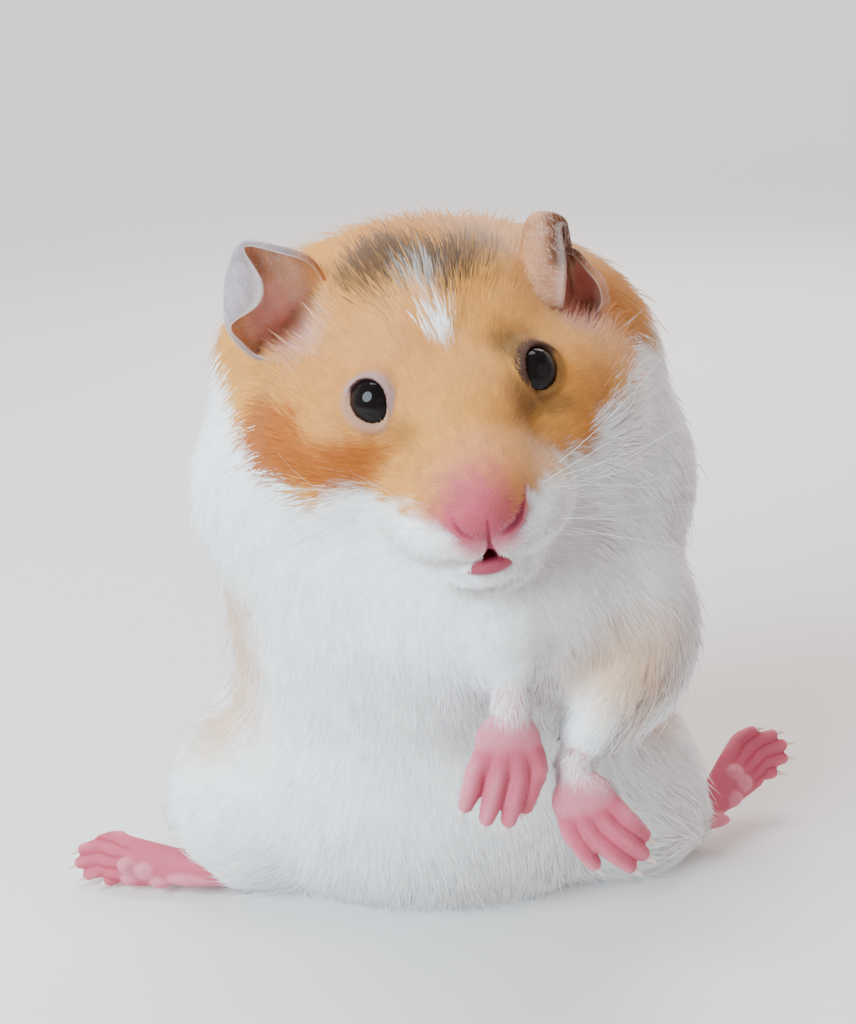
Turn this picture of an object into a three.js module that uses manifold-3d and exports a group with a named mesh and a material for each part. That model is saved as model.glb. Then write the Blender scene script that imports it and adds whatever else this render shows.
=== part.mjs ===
// A Syrian hamster sitting up on its haunches with its forepaws hanging in front of its chest and
// its hind feet out to the sides: a life-size still model, cut into its named body parts.
// Millimetres, +Z up. The animal faces -Y, and +X is on its left. The origin is under the middle
// of the model, on the floor. The flesh solids reach to the tips of the coat.
import * as THREE from "three";
import { mergeVertices } from "three/addons/utils/BufferGeometryUtils.js";
import Module from "manifold-3d";

const wasm = await Module();
wasm.setup();

// ---------------------------------------------------------------- driving dimensions
const PART_GAP = 0.3; // the cut between two neighbouring parts
const TRUNK_BLEND = 3.4; // how softly the masses of the trunk run into each other
const HEAD_BLEND = 2; // the same for the head, whose forms are finer
const NECK_BLEND = 2.4; // the same between head and trunk
const EYE_RADIUS = 3.4;
const EYE_HALF_SPACING = 9.1; // from the middle of the head to the centre of an eyeball
const EYE_DEPTH = 1.5; // how far the centre of an eyeball lies behind the front of the lids
const DIGIT_RADIUS = 1.2;
const CLAW_LENGTH = 2.2;
const EAR_WALL = 0.9;
const NETS = {
  // How many segments and rings each kind of solid has.
  trunk: [28, 22],
  neck: [26, 20],
  head: [28, 20],
  thigh: [18, 12],
  limb: [10, 7],
  toe: [6, 6],
  claw: [4, 4],
  ear: [16, 7],
  eye: [11, 8],
  nose: [10, 8],
  jaw: [12, 8],
};
const REACH = 140; // longer than any ray inside the animal
const SAFE_STEP = 0.55; // the share of the estimated distance that never oversteps the surface

const v3 = (x, y, z) => new THREE.Vector3(x, y, z);
const degrees = THREE.MathUtils.degToRad;

// The head's own frame has its origin midway between the eyes, with -Y towards the nose.
const HEAD_ORIGIN = v3(4.2, -23, 79);
const HEAD_YAW = degrees(7.5); // the nose turns a little to the animal's left
const HEAD_PITCH = degrees(4); // and a little down
const HEAD_ROLL = degrees(-6.5); // the animal's left eye is the higher one
const headTurn = new THREE.Matrix4()
  .makeRotationZ(HEAD_YAW)
  .multiply(new THREE.Matrix4().makeRotationX(HEAD_PITCH))
  .multiply(new THREE.Matrix4().makeRotationY(HEAD_ROLL));
const headToWorld = new THREE.Matrix4().setPosition(HEAD_ORIGIN).multiply(headTurn);
const worldToHead = headToWorld.clone().invert();
const onHead = (x, y, z) => v3(x, y, z).applyMatrix4(headToWorld);

// ---------------------------------------------------------------- the masses of the body
// Each mass is an ellipsoid: its centre and its half sizes.
const TRUNK_MASSES = [
  { at: v3(0, 3, 17), half: v3(33.5, 26, 24) }, // haunches and belly
  { at: v3(2.5, 3, 38), half: v3(31, 26, 27) }, // waist
  { at: v3(2.5, 0, 59), half: v3(34.5, 24, 22) }, // shoulders and ruff
  { at: v3(2.5, 4, 75), half: v3(30, 18, 19.5) }, // nape
  { at: v3(3, -14, 48), half: v3(21, 13, 17) }, // breast
  { at: v3(25, -15, 42), half: v3(9, 11, 13) }, // left elbow, under the coat
  { at: v3(3, -21, 51), half: v3(8, 8, 9) }, // right elbow, under the coat
  { at: v3(10, -22, 47.5), half: v3(13, 9, 10) }, // long hair of the breast, between the arms
  { at: v3(-28, -2, 13.5), half: v3(12, 13.5, 10.5) }, // right thigh
  { at: v3(27, 0, 10), half: v3(11.5, 15, 12) }, // left thigh
];
const HEAD_MASSES = [
  { at: v3(0, 14, 2.4), half: v3(14.5, 13, 13) }, // braincase
  { at: v3(-12.5, 10, -9), half: v3(12, 13, 12) }, // right cheek
  { at: v3(12.5, 10, -9), half: v3(12, 13, 12) }, // left cheek
  { at: v3(0, 1, -2.5), half: v3(8, 9, 6) }, // brow and bridge
  { at: v3(0, -7, -8.5), half: v3(6, 7.5, 5.5) }, // muzzle
  { at: v3(0, -12, -9.5), half: v3(3.4, 3.6, 3.2) }, // tip of the snout
  { at: v3(-5.2, -5.5, -12.8), half: v3(6, 7, 4.6) }, // right whisker pad
  { at: v3(5.2, -5.5, -12.8), half: v3(6, 7, 4.6) }, // left whisker pad
  { at: v3(0, -5, -18.6), half: v3(4.8, 6.6, 3.2) }, // chin
];

// The signed distance to one ellipsoid, nearly exact close to its surface.
function massDistance(p, { at, half }) {
  const q = p.clone().sub(at).divide(half);
  const k0 = q.length();
  const k1 = q.divide(half).length();
  return k1 < 1e-9 ? -Math.min(half.x, half.y, half.z) : (k0 * (k0 - 1)) / k1;
}

// The soft minimum of several distances: the forms flow together over about the blend width.
const softUnion = (distances, blend) =>
  -blend * Math.log(distances.reduce((sum, d) => sum + Math.exp(-d / blend), 0));

function bodyDistance(p) {
  const local = p.clone().applyMatrix4(worldToHead);
  const trunk = softUnion(TRUNK_MASSES.map((m) => massDistance(p, m)), TRUNK_BLEND);
  const head = softUnion(HEAD_MASSES.map((m) => massDistance(local, m)), HEAD_BLEND);
  return softUnion([trunk, head], NECK_BLEND);
}

// ---------------------------------------------------------------- ways of making a solid
// A sphere's closed net with each vertex moved to place(turn, along): turn runs round it from 0 to
// 2 pi and along runs from one pole, 0, to the other, 1.
function closedNet([segments, rings], place) {
  const net = new THREE.SphereGeometry(1, segments, rings);
  const { position, uv } = net.attributes;
  for (let i = 0; i < position.count; i++) {
    const ring = Math.round((1 - uv.getY(i)) * rings);
    const step = Math.round(uv.getX(i) * segments - (ring % rings === 0 ? 0.5 : 0));
    const p = place(((step % segments) / segments) * 2 * Math.PI, ring / rings);
    position.setXYZ(i, p.x, p.y, p.z);
  }
  return solid(net);
}

// A three.js geometry as a manifold-3d solid with its faces outwards.
function solid(geometry) {
  const bare = geometry.clone().deleteAttribute("normal").deleteAttribute("uv");
  const merged = mergeVertices(bare, 1e-4);
  const triVerts = new Uint32Array(merged.index.array);
  const kept = [];
  for (let i = 0; i < triVerts.length; i += 3) {
    const [a, b, c] = triVerts.subarray(i, i + 3);
    if (a !== b && b !== c && a !== c) kept.push(a, b, c);
  }
  const make = (list) =>
    new wasm.Manifold(
      new wasm.Mesh({
        numProp: 3,
        vertProperties: merged.attributes.position.array,
        triVerts: new Uint32Array(list),
      }),
    );
  const made = make(kept);
  if (made.volume() > 0) return made;
  for (let i = 0; i < kept.length; i += 3) [kept[i], kept[i + 1]] = [kept[i + 1], kept[i]];
  return make(kept);
}

// Where a ray from inside the body first leaves it, stepping by the distance left to the surface.
function surfaceAlong(origin, direction) {
  const p = origin.clone();
  for (let walked = 0; walked < REACH; ) {
    const step = -bodyDistance(p) * SAFE_STEP;
    if (step < 1e-3) break;
    p.addScaledVector(direction, step);
    walked += step;
  }
  return p;
}

// The body's surface as seen from a centre, as a net with its poles on an axis. Rings crowd
// towards the first pole by the power crowd.
function bodyFrom(centre, axis, net, crowd = 1) {
  const turn = new THREE.Quaternion().setFromUnitVectors(v3(0, 0, 1), axis.clone().normalize());
  return closedNet(net, (around, along) => {
    const tilt = Math.PI * along ** crowd;
    const direction = v3(
      Math.sin(tilt) * Math.cos(around),
      Math.sin(tilt) * Math.sin(around),
      Math.cos(tilt),
    ).applyQuaternion(turn);
    return surfaceAlong(centre, direction);
  });
}

function ellipsoid({ at, half }, net = NETS.jaw) {
  const ball = new THREE.SphereGeometry(1, ...net);
  return solid(ball.scale(half.x, half.y, half.z).translate(at.x, at.y, at.z));
}

// A value read along a list of evenly spaced stations, eased between them.
function readAlong(stations, t) {
  const s = t * (stations.length - 1);
  const i = Math.min(Math.floor(s), stations.length - 2);
  return THREE.MathUtils.lerp(stations[i], stations[i + 1], THREE.MathUtils.smoothstep(s - i, 0, 1));
}

// A limb, digit or claw: a round-ended rod of oval section that follows a smooth curve. wide and
// deep are its half sizes at even stations, deep being measured along facing. round is the share
// of the length that each end takes to close.
function limb(shape, grow = 0) {
  const { path, wide, deep = wide, facing = v3(0, -1, 0) } = shape;
  const { round = [0.2, 0.2], net = NETS.limb } = shape;
  const curve = new THREE.CatmullRomCurve3(path);
  const dome = (share) => Math.sqrt(Math.max(0, 1 - (1 - Math.min(share, 1)) ** 2));
  return closedNet(net, (around, along) => {
    const t = (1 - Math.cos(Math.PI * along)) / 2;
    const tangent = curve.getTangent(t);
    const side = tangent.clone().cross(facing).normalize();
    const front = side.clone().cross(tangent).normalize();
    const close = dome(t / round[0]) * dome((1 - t) / round[1]);
    const added = grow * Math.min(1, 4 * close);
    return curve
      .getPoint(t)
      .addScaledVector(tangent, grow * (2 * t - 1))
      .addScaledVector(side, (readAlong(wide, t) * close + added) * Math.cos(around))
      .addScaledVector(front, (readAlong(deep, t) * close + added) * Math.sin(around));
  });
}

// ---------------------------------------------------------------- paws and feet
// One digit, which leaves the palm at its knuckle and arches by bow on the way to its tip, with the
// claw that grows from it.
function digit({ palmMiddle, knuckle, tip, bow, radius, facing }) {
  const reach = tip.clone().sub(knuckle);
  const middle = knuckle.clone().addScaledVector(reach, 0.5).add(bow);
  const toe = limb({
    path: [palmMiddle.clone().lerp(knuckle, 0.6), knuckle, middle, tip],
    wide: [radius * 0.9, radius, radius * 0.95, radius * 0.9],
    facing,
    round: [0.15, 0.15],
    net: NETS.toe,
  });
  const onward = tip.clone().sub(middle).normalize();
  const start = tip.clone().addScaledVector(onward, -radius * 0.8);
  const hook = start.clone().addScaledVector(onward, CLAW_LENGTH);
  const drop = bow.clone().normalize().multiplyScalar(-0.35 * CLAW_LENGTH);
  const bend = start.clone().lerp(hook, 0.55).addScaledVector(drop, -0.3);
  const claw = limb({
    path: [start, bend, hook.add(drop)],
    wide: [0.5, 0.42, 0.16],
    facing,
    round: [0.2, 0.3],
    net: NETS.claw,
  });
  return toe.add(claw);
}

// A paw or foot: its oval palm, its digits and their claws, as one solid.
function paw({ palm, digits }) {
  const shared = { facing: palm.facing, palmMiddle: palm.path[palm.path.length >> 1] };
  return digits.reduce((whole, d) => whole.add(digit({ ...shared, ...d })), limb(palm));
}

// Knuckles and tips spaced evenly along two lines.
function fan(count, knuckles, tips, bow, radius) {
  return Array.from({ length: count }, (_, i) => ({
    knuckle: knuckles[0].clone().lerp(knuckles[1], i / (count - 1)),
    tip: new THREE.QuadraticBezierCurve3(...tips).getPoint(i / (count - 1)),
    bow,
    radius,
  }));
}

const FOREARM_RIGHT = {
  path: [v3(5, -21, 52), v3(8, -28.8, 49), v3(9.3, -32.6, 44.6), v3(9.1, -34.2, 40.4)],
  wide: [6.5, 5.4, 3.4, 2.4],
};
const FOREARM_LEFT = {
  path: [v3(25.5, -16, 44), v3(22.4, -25.2, 40), v3(18.5, -31.2, 35.8), v3(16.4, -33.7, 32)],
  wide: [7.3, 6, 3.9, 2.6],
};
const PAW_RIGHT = {
  palm: {
    path: [v3(9.1, -34.3, 40.6), v3(8.6, -35.6, 37.6), v3(8.3, -36, 34.4)],
    wide: [2.4, 3.9, 4.2],
    deep: [2.2, 2.2, 1.7],
    facing: v3(0, -1, 0.15),
    round: [0.25, 0.25],
  },
  digits: fan(
    4,
    [v3(5.2, -36.2, 35.6), v3(11.6, -35.8, 35.4)],
    [v3(3.6, -36.8, 31), v3(7.6, -37.8, 27.6), v3(12.2, -36.4, 30.8)],
    v3(0, -0.9, 0.1),
    DIGIT_RADIUS,
  ),
};
const PAW_LEFT = {
  palm: {
    path: [v3(16.2, -33.8, 32.6), v3(17, -35.2, 29.8), v3(18.3, -35.9, 26.8)],
    wide: [2.5, 3.9, 4.1],
    deep: [2.2, 2.2, 1.7],
    facing: v3(0.1, -1, 0.2),
    round: [0.25, 0.25],
  },
  digits: fan(
    4,
    [v3(15.6, -36, 26.4), v3(21.2, -35.5, 28.9)],
    [v3(19.2, -37, 22.2), v3(24.8, -38, 20.4), v3(25, -36.3, 26)],
    v3(0, -0.9, 0.1),
    DIGIT_RADIUS,
  ),
};
const FOOT_RIGHT = {
  palm: {
    path: [v3(-25, -7.5, 5), v3(-33, -6.5, 4.2), v3(-40.5, -4.5, 3.8), v3(-47.5, -2.4, 4)],
    wide: [3.4, 3.1, 3.5, 4],
    deep: [3, 2.6, 2.3, 2],
    facing: v3(0, -0.8, -0.6),
    round: [0.15, 0.14],
  },
  digits: fan(
    5,
    [v3(-45.6, -4, 1.9), v3(-46.2, -1.6, 6.3)],
    [v3(-50.6, -3, 1.7), v3(-57.6, -1.4, 4.2), v3(-52.6, 0.8, 8.2)],
    v3(0, 0.8, 0.7),
    DIGIT_RADIUS,
  ),
};
const FOOT_LEFT = {
  palm: {
    path: [v3(31, -3.5, 5), v3(37, -1.5, 4.2), v3(42.2, 1.6, 5.6), v3(46.6, 5, 8.2)],
    wide: [3.4, 3.1, 3.5, 3.9],
    deep: [3, 2.6, 2.3, 2],
    facing: v3(0.3, -0.8, -0.5),
    round: [0.15, 0.14],
  },
  digits: fan(
    5,
    [v3(46.6, 3, 5.8), v3(44.6, 5, 10.4)],
    [v3(51, 4.2, 6), v3(54, 9.6, 13), v3(48, 8, 15)],
    v3(-0.4, 0.8, 0.5),
    DIGIT_RADIUS,
  ),
};
const TAIL = {
  path: [v3(1, 20, 7), v3(1, 29, 4.6), v3(1.6, 36, 2.6)],
  wide: [3.6, 2.6, 1.3],
  facing: v3(1, 0, 0),
  round: [0.1, 0.2],
};

// ---------------------------------------------------------------- ears
// A cupped ear, made as a thin oval plate and then rolled. side runs across it, cup is the angle
// through which its middle rolls each way, and flare is how far its tip leans out backwards.
function ear({ root, tip, side, halfWidth, cup, flare, grow = 0 }) {
  const axis = tip.clone().sub(root);
  const halfLength = axis.length() / 2 + grow;
  axis.normalize();
  const hollow = side.clone().cross(axis).normalize();
  const across = axis.clone().cross(hollow);
  const middle = root.clone().lerp(tip, 0.5);
  const rollRadius = halfWidth / cup;
  return closedNet(NETS.ear, (around, along) => {
    const reach = Math.sin(Math.PI * along);
    const lift = Math.cos(Math.PI * along);
    const wall = (EAR_WALL / 2 + grow) * Math.sign(lift) * Math.abs(lift) ** 0.45;
    const up = reach * Math.sin(around);
    const out = (halfWidth + grow) * reach * Math.cos(around) * (1 - 0.12 * up);
    const roll = out / rollRadius;
    const depth = rollRadius * (1 - Math.cos(roll)) - flare * ((up + 1) / 2) ** 2;
    return middle
      .clone()
      .addScaledVector(axis, halfLength * up)
      .addScaledVector(across, rollRadius * Math.sin(roll) - wall * Math.sin(roll))
      .addScaledVector(hollow, depth + wall * Math.cos(roll));
  });
}

const EAR_RIGHT = {
  root: v3(-13.2, -9, 82.2),
  tip: v3(-22.2, -11, 93.4),
  side: v3(-0.76, 0, -0.65),
  halfWidth: 6.9,
  cup: 0.75,
  flare: 1.5,
};
const EAR_LEFT = {
  root: v3(18.5, -7.5, 84.5),
  tip: v3(17.6, -9.5, 96.6),
  side: v3(-0.86, 0.5, 0),
  halfWidth: 5.6,
  cup: 1.2,
  flare: 1,
};

// ---------------------------------------------------------------- parting the whole
const FLOOR_UP = [0, 0, 1];
const onFloor = (s) => s.trimByPlane(FLOOR_UP, 0);
const largest = (s) => s.decompose().sort((a, b) => b.volume() - a.volume())[0];

// A cut between two parts: a plane through two points of the profile, square to X.
function profilePlane([frontY, frontZ], [backY, backZ]) {
  const normal = v3(0, frontZ - backZ, backY - frontY).normalize();
  return { normal: normal.toArray(), offset: normal.dot(v3(0, frontY, frontZ)) };
}
const above = (s, { normal, offset }) => s.trimByPlane(normal, offset + PART_GAP / 2);
const below = (s, { normal, offset }) =>
  s.trimByPlane(normal.map((n) => -n), -offset + PART_GAP / 2);

const HEAD_CUT = profilePlane([-28.5, 53.5], [8, 95]);
const NECK_CUT = profilePlane([-29, 50], [33, 62]);
const JAW_CUT = { at: onHead(0, -11.5, -19.2), half: v3(6.4, 8, 4.1) };
const THIGH_RIGHT_CUT = { at: v3(-33, -3, 8), half: v3(17, 21, 19) };
const THIGH_LEFT_CUT = { at: v3(32, 0, 7), half: v3(15, 20, 18) };
const NOSE = { at: onHead(0, -15.1, -9.6), half: v3(3, 1.9, 2.2) };
const eyeAt = (side) => onHead(side * EYE_HALF_SPACING, EYE_DEPTH, -1.1);

const swell = ({ at, half }) => ({ at, half: half.clone().addScalar(PART_GAP) });
const eyeball = (side, grow = 0) =>
  ellipsoid({ at: eyeAt(side), half: v3(1, 1, 1).multiplyScalar(EYE_RADIUS + grow) }, NETS.eye);

const wholeTrunk = onFloor(bodyFrom(v3(2, 3, 38), v3(0, 0.1, 1), NETS.trunk));
const wholeNeck = bodyFrom(v3(3, -2, 66), v3(0, -1, 0.1), NETS.neck);
const muzzleWay = v3(0, -1, -0.16).transformDirection(headTurn);
const wholeHead = bodyFrom(onHead(0, 0, -6.5), muzzleWay, NETS.head, 1.25);
const thighFrom = (cut) => onFloor(bodyFrom(cut.at, v3(1, 0, 0), NETS.thigh));

const forearms = [FOREARM_RIGHT, FOREARM_LEFT];
const feet = [FOOT_RIGHT, FOOT_LEFT];
const grown = (shape) => limb(shape, PART_GAP);

const without = (s, ...cutters) => largest(cutters.reduce((left, c) => left.subtract(c), s));
const thighOf = (cut, foot) =>
  without(thighFrom(cut).intersect(ellipsoid(cut, NETS.thigh)), grown(foot.palm));
const thighRight = thighOf(THIGH_RIGHT_CUT, FOOT_RIGHT);
const thighLeft = thighOf(THIGH_LEFT_CUT, FOOT_LEFT);

const trunk = without(
  below(wholeTrunk, NECK_CUT),
  ellipsoid(swell(THIGH_RIGHT_CUT), NETS.thigh),
  ellipsoid(swell(THIGH_LEFT_CUT), NETS.thigh),
  ...forearms.map(grown),
  ...feet.map((f) => grown(f.palm)),
  grown(TAIL),
);
const neck = without(below(above(wholeNeck, NECK_CUT), HEAD_CUT), ...forearms.map(grown));
const wholeFace = above(wholeHead, HEAD_CUT);
const head = without(
  wholeFace,
  ellipsoid(swell(JAW_CUT)),
  ellipsoid(swell(NOSE), NETS.nose),
  eyeball(-1, PART_GAP),
  eyeball(1, PART_GAP),
  ear({ ...EAR_RIGHT, grow: PART_GAP }),
  ear({ ...EAR_LEFT, grow: PART_GAP }),
  ...forearms.map(grown),
);
const jaw = largest(wholeFace.intersect(ellipsoid(JAW_CUT)));

// A limb that ends in a paw stops short of it by the gap.
const forearmOf = (shape, hand) => without(limb(shape), grown(hand.palm));

// ---------------------------------------------------------------- materials and nodes
const finish = (color, roughness, metalness = 0) =>
  new THREE.MeshStandardMaterial({ color, roughness, metalness });
const WHITE_COAT = finish(0xe9e3dc, 0.9);
const GOLD_COAT = finish(0xcf9a58, 0.9);
const PINK_SKIN = finish(0xd99a98, 0.6);
const NOSE_SKIN = finish(0xc97a80, 0.45);
const EAR_SKIN = finish(0xb99a92, 0.7);
const EYE_GLOSS = finish(0x0c0a0c, 0.06);

const hamster = new THREE.Group();
function node(name, shape, material) {
  const mesh = shape.getMesh();
  const geometry = new THREE.BufferGeometry();
  geometry.setAttribute("position", new THREE.BufferAttribute(mesh.vertProperties, 3));
  geometry.setIndex(new THREE.BufferAttribute(mesh.triVerts, 1));
  const part = new THREE.Mesh(geometry, material);
  part.name = name;
  hamster.add(part);
}

node("trunk", trunk, WHITE_COAT);
node("neck", neck, WHITE_COAT);
node("head", head, GOLD_COAT);
node("lower_jaw", jaw, WHITE_COAT);
node("nose", ellipsoid(NOSE, NETS.nose), NOSE_SKIN);
node("eye_right", eyeball(-1), EYE_GLOSS);
node("eye_left", eyeball(1), EYE_GLOSS);
node("ear_right", ear(EAR_RIGHT), EAR_SKIN);
node("ear_left", ear(EAR_LEFT), EAR_SKIN);
node("foreleg_right", forearmOf(FOREARM_RIGHT, PAW_RIGHT), WHITE_COAT);
node("foreleg_left", forearmOf(FOREARM_LEFT, PAW_LEFT), WHITE_COAT);
node("forepaw_right", paw(PAW_RIGHT), PINK_SKIN);
node("forepaw_left", paw(PAW_LEFT), PINK_SKIN);
node("thigh_right", thighRight, WHITE_COAT);
node("thigh_left", thighLeft, WHITE_COAT);
node("hind_foot_right", onFloor(paw(FOOT_RIGHT)), PINK_SKIN);
node("hind_foot_left", onFloor(paw(FOOT_LEFT)), PINK_SKIN);
node("tail", onFloor(limb(TAIL)), PINK_SKIN);

// The origin goes under the middle of the whole model.
const box = new THREE.Box3().setFromObject(hamster);
const middle = box.getCenter(v3(0, 0, 0));
hamster.position.set(-middle.x, -middle.y, 0);
hamster.updateMatrixWorld(true);

export default hamster;
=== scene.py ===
"""A Syrian hamster sitting up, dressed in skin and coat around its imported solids.

The animal is worked out in its own millimetres, with +Z up, its face towards -Y and its left side
towards +X, and every finished mesh is then carried into the frame's metres. The skin is the level
surface of one soft field, which is the sum of the body's masses less the depth of the coat, and the
coat is about a quarter of a million slim closed tufts rooted on that skin.
"""

from __future__ import annotations

import logging
import math
from dataclasses import dataclass, field
from enum import Enum
from typing import Callable, Sequence

import bpy
import numpy as np
import openvdb
from mathutils import Matrix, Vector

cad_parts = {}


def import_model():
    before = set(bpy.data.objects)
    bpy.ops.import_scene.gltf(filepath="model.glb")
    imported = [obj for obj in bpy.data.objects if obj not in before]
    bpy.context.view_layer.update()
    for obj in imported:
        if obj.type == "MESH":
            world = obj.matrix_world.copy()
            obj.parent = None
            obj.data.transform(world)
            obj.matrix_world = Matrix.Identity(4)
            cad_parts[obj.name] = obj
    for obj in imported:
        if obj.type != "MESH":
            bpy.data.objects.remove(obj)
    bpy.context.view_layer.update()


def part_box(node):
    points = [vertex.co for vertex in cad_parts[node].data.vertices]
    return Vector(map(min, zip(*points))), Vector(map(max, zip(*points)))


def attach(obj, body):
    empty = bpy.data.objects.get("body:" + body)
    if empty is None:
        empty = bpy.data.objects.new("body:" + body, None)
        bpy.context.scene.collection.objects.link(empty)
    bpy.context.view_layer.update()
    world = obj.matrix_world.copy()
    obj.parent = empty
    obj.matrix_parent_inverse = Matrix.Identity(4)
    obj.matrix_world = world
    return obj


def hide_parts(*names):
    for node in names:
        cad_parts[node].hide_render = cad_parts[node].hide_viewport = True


LOG = logging.getLogger("hamster")
Array = np.ndarray
Point = tuple[float, float, float]
Colour = tuple[float, float, float]

ROOT_BODY = "root"
UP = np.array([0.0, 0.0, 1.0])
MM_PER_METRE = 1000.0


# ---- small tools


def length_of(vectors: Array) -> Array:
    """Gives the length of each vector of the last axis."""
    return np.sqrt(np.einsum("...k,...k->...", vectors, vectors))


def unit(vectors: Array) -> Array:
    """Scales each vector of the last axis to length one."""
    return vectors / np.maximum(length_of(np.asarray(vectors, float)), 1e-9)[..., None]


def in_plane(vectors: Array, normals: Array) -> Array:
    """Lays vectors flat on the planes that normals stand on, as unit vectors."""
    return unit(vectors - (vectors * normals).sum(-1, keepdims=True) * normals)


def ease(value: Array, start: float, end: float) -> Array:
    """Rises smoothly from 0 at start to 1 at end, or falls if end is the lower one."""
    t = np.clip((value - start) / (end - start), 0.0, 1.0)
    return t * t * (3.0 - 2.0 * t)


def mix(a: Array, b: Array, share: Array) -> Array:
    """Goes from a to b as share goes from 0 to 1."""
    return a + (b - a) * share


def rotation(axis: int, degrees: float) -> Array:
    """Gives the matrix of a turn about one axis: 0 is X, 1 is Y and 2 is Z."""
    c, s = math.cos(math.radians(degrees)), math.sin(math.radians(degrees))
    i, j = ((1, 2), (2, 0), (0, 1))[axis]
    matrix = np.eye(3)
    matrix[i, i] = matrix[j, j] = c
    matrix[i, j], matrix[j, i] = -s, s
    return matrix


def soft_union(distances: Array, blend: float) -> Array:
    """Joins distances so that their forms flow together.

    The formula is -blend * log(sum(exp(-distance / blend))), steadied by the least distance.

    Args:
        distances: One row for each form, one column for each point.
        blend: How wide the flow is, in millimetres.

    Returns:
        One joined distance for each point.
    """
    least = distances.min(axis=0)
    return least - blend * np.log(np.exp((least - distances) / blend).sum(axis=0))


def flowed(forms: Sequence[Mass | Chain], points: Array, blend: float) -> Array:
    """Gives the distance to several forms that flow together."""
    return soft_union(np.stack([form.distance(points) for form in forms]), blend)


def nearest(forms: Sequence[Mass | Chain], points: Array) -> Array:
    """Gives the distance to the nearest of several forms."""
    return np.stack([form.distance(points) for form in forms]).min(0)


def catmull_rom(control: Array, first: Array, t: Array) -> Array:
    """Reads a Catmull-Rom curve.

    Args:
        control: The points that steer it.
        first: For each reading, the number of the first of the four points that steer it there.
        t: How far the reading lies from the second of the four to the third, from 0 to 1.

    Returns:
        One point for each reading.
    """
    a, b, c, d = (control[first + k] for k in range(4))
    return 0.5 * (
        2 * b + (c - a) * t + (2 * a - 5 * b + 4 * c - d) * t**2 + (3 * b - a - 3 * c + d) * t**3
    )


def smooth_path(points: Sequence[Point], steps: int) -> Array:
    """Passes a smooth curve through points and reads it at even steps of its parameter."""
    control = np.array(points, float)
    padded = np.vstack([2 * control[0] - control[1], control, 2 * control[-1] - control[-2]])
    s = np.linspace(0, len(control) - 1, steps)
    i = np.minimum(s.astype(int), len(control) - 2)
    return catmull_rom(padded, i, (s - i)[:, None])


def closed_path(points: Sequence[Point], count: int) -> Array:
    """Passes a closed smooth curve through points and reads it at even steps of its parameter."""
    ring = np.array(points, float)
    wrapped = np.vstack([ring[-3:], ring, ring[:3]])
    s = np.linspace(3, 3 + len(ring), count, endpoint=False)
    i = s.astype(int)
    return catmull_rom(wrapped, i - 1, (s - i)[:, None])


@dataclass(frozen=True)
class Ripple:
    """Smooth random waves through space: a sum of sines with seeded directions and phases.

    Attributes:
        wavelength: The mean length of a wave, in millimetres.
        seed: The seed of its random directions.
        waves: How many sines are summed.
    """

    wavelength: float
    seed: int
    waves: int = 9

    def at(self, points: Array) -> Array:
        """Reads the ripple at points: about -1 to 1, mean 0."""
        rng = np.random.default_rng(self.seed)
        direction = unit(rng.normal(size=(self.waves, 3)))
        pace = 2 * np.pi / self.wavelength * rng.uniform(0.6, 1.5, (self.waves, 1))
        phase = rng.uniform(0, 2 * np.pi, self.waves)
        return np.sin(points @ (direction * pace).T + phase).sum(axis=-1) / math.sqrt(self.waves)

    def vector_at(self, points: Array) -> Array:
        """Reads three ripples as one vector for each point."""
        seeds = [self.seed + 101 * k for k in range(3)]
        return np.stack([Ripple(self.wavelength, s, self.waves).at(points) for s in seeds], axis=-1)


@dataclass(frozen=True)
class Mass:
    """One ellipsoid of flesh: its centre and its half sizes, in millimetres."""

    at: Point
    half: Point

    def distance(self, points: Array) -> Array:
        """Gives the signed distance k0 (k0 - 1) / k1, nearly exact close to the surface."""
        q = (points - np.array(self.at)) / np.array(self.half)
        k0 = length_of(q)
        k1 = length_of(q / np.array(self.half))
        return k0 * (k0 - 1) / np.maximum(k1, 1e-6)


@dataclass(frozen=True)
class Chain:
    """A limb or digit: round cones laid end to end along a smooth path.

    Attributes:
        path: The points of its middle line.
        radii: Its radius at even stations along the line.
        links: How many cones it is made of.
        reach: How far from its box the distance is still worked out exactly.
    """

    path: tuple[Point, ...]
    radii: tuple[float, ...]
    links: int = 7
    reach: float = 12.0

    def nodes(self) -> tuple[Array, Array]:
        """Gives the ends of the cones and the radius at each."""
        line = smooth_path(self.path, self.links + 1)
        stations = np.linspace(0, 1, len(self.radii))
        return line, np.interp(np.linspace(0, 1, self.links + 1), stations, self.radii)

    def distance(self, points: Array) -> Array:
        """Gives the distance to the nearest cone's surface, and beyond reach that to its box."""
        line, radii = self.nodes()
        low, high = line.min(0) - radii.max(), line.max(0) + radii.max()
        best = length_of(np.maximum(np.maximum(low - points, points - high), 0))
        near = best < self.reach
        close = points[near]
        gap = np.full(len(close), 1e9)
        for a, b, ra, rb in zip(line[:-1], line[1:], radii[:-1], radii[1:]):
            ab = b - a
            out = close - a
            t = np.clip(out @ (ab / (ab @ ab)), 0, 1)
            gap = np.minimum(gap, length_of(out - t[:, None] * ab) - (ra + (rb - ra) * t))
        best[near] = gap
        return best


Field = Callable[[Array], Array]


def slope(function: Field, points: Array, step: float = 0.05) -> Array:
    """Gives the gradient of a field by central differences."""
    shifts = np.eye(3) * step
    return np.stack([(function(points + s) - function(points - s)) / (2 * step) for s in shifts], -1)


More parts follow.
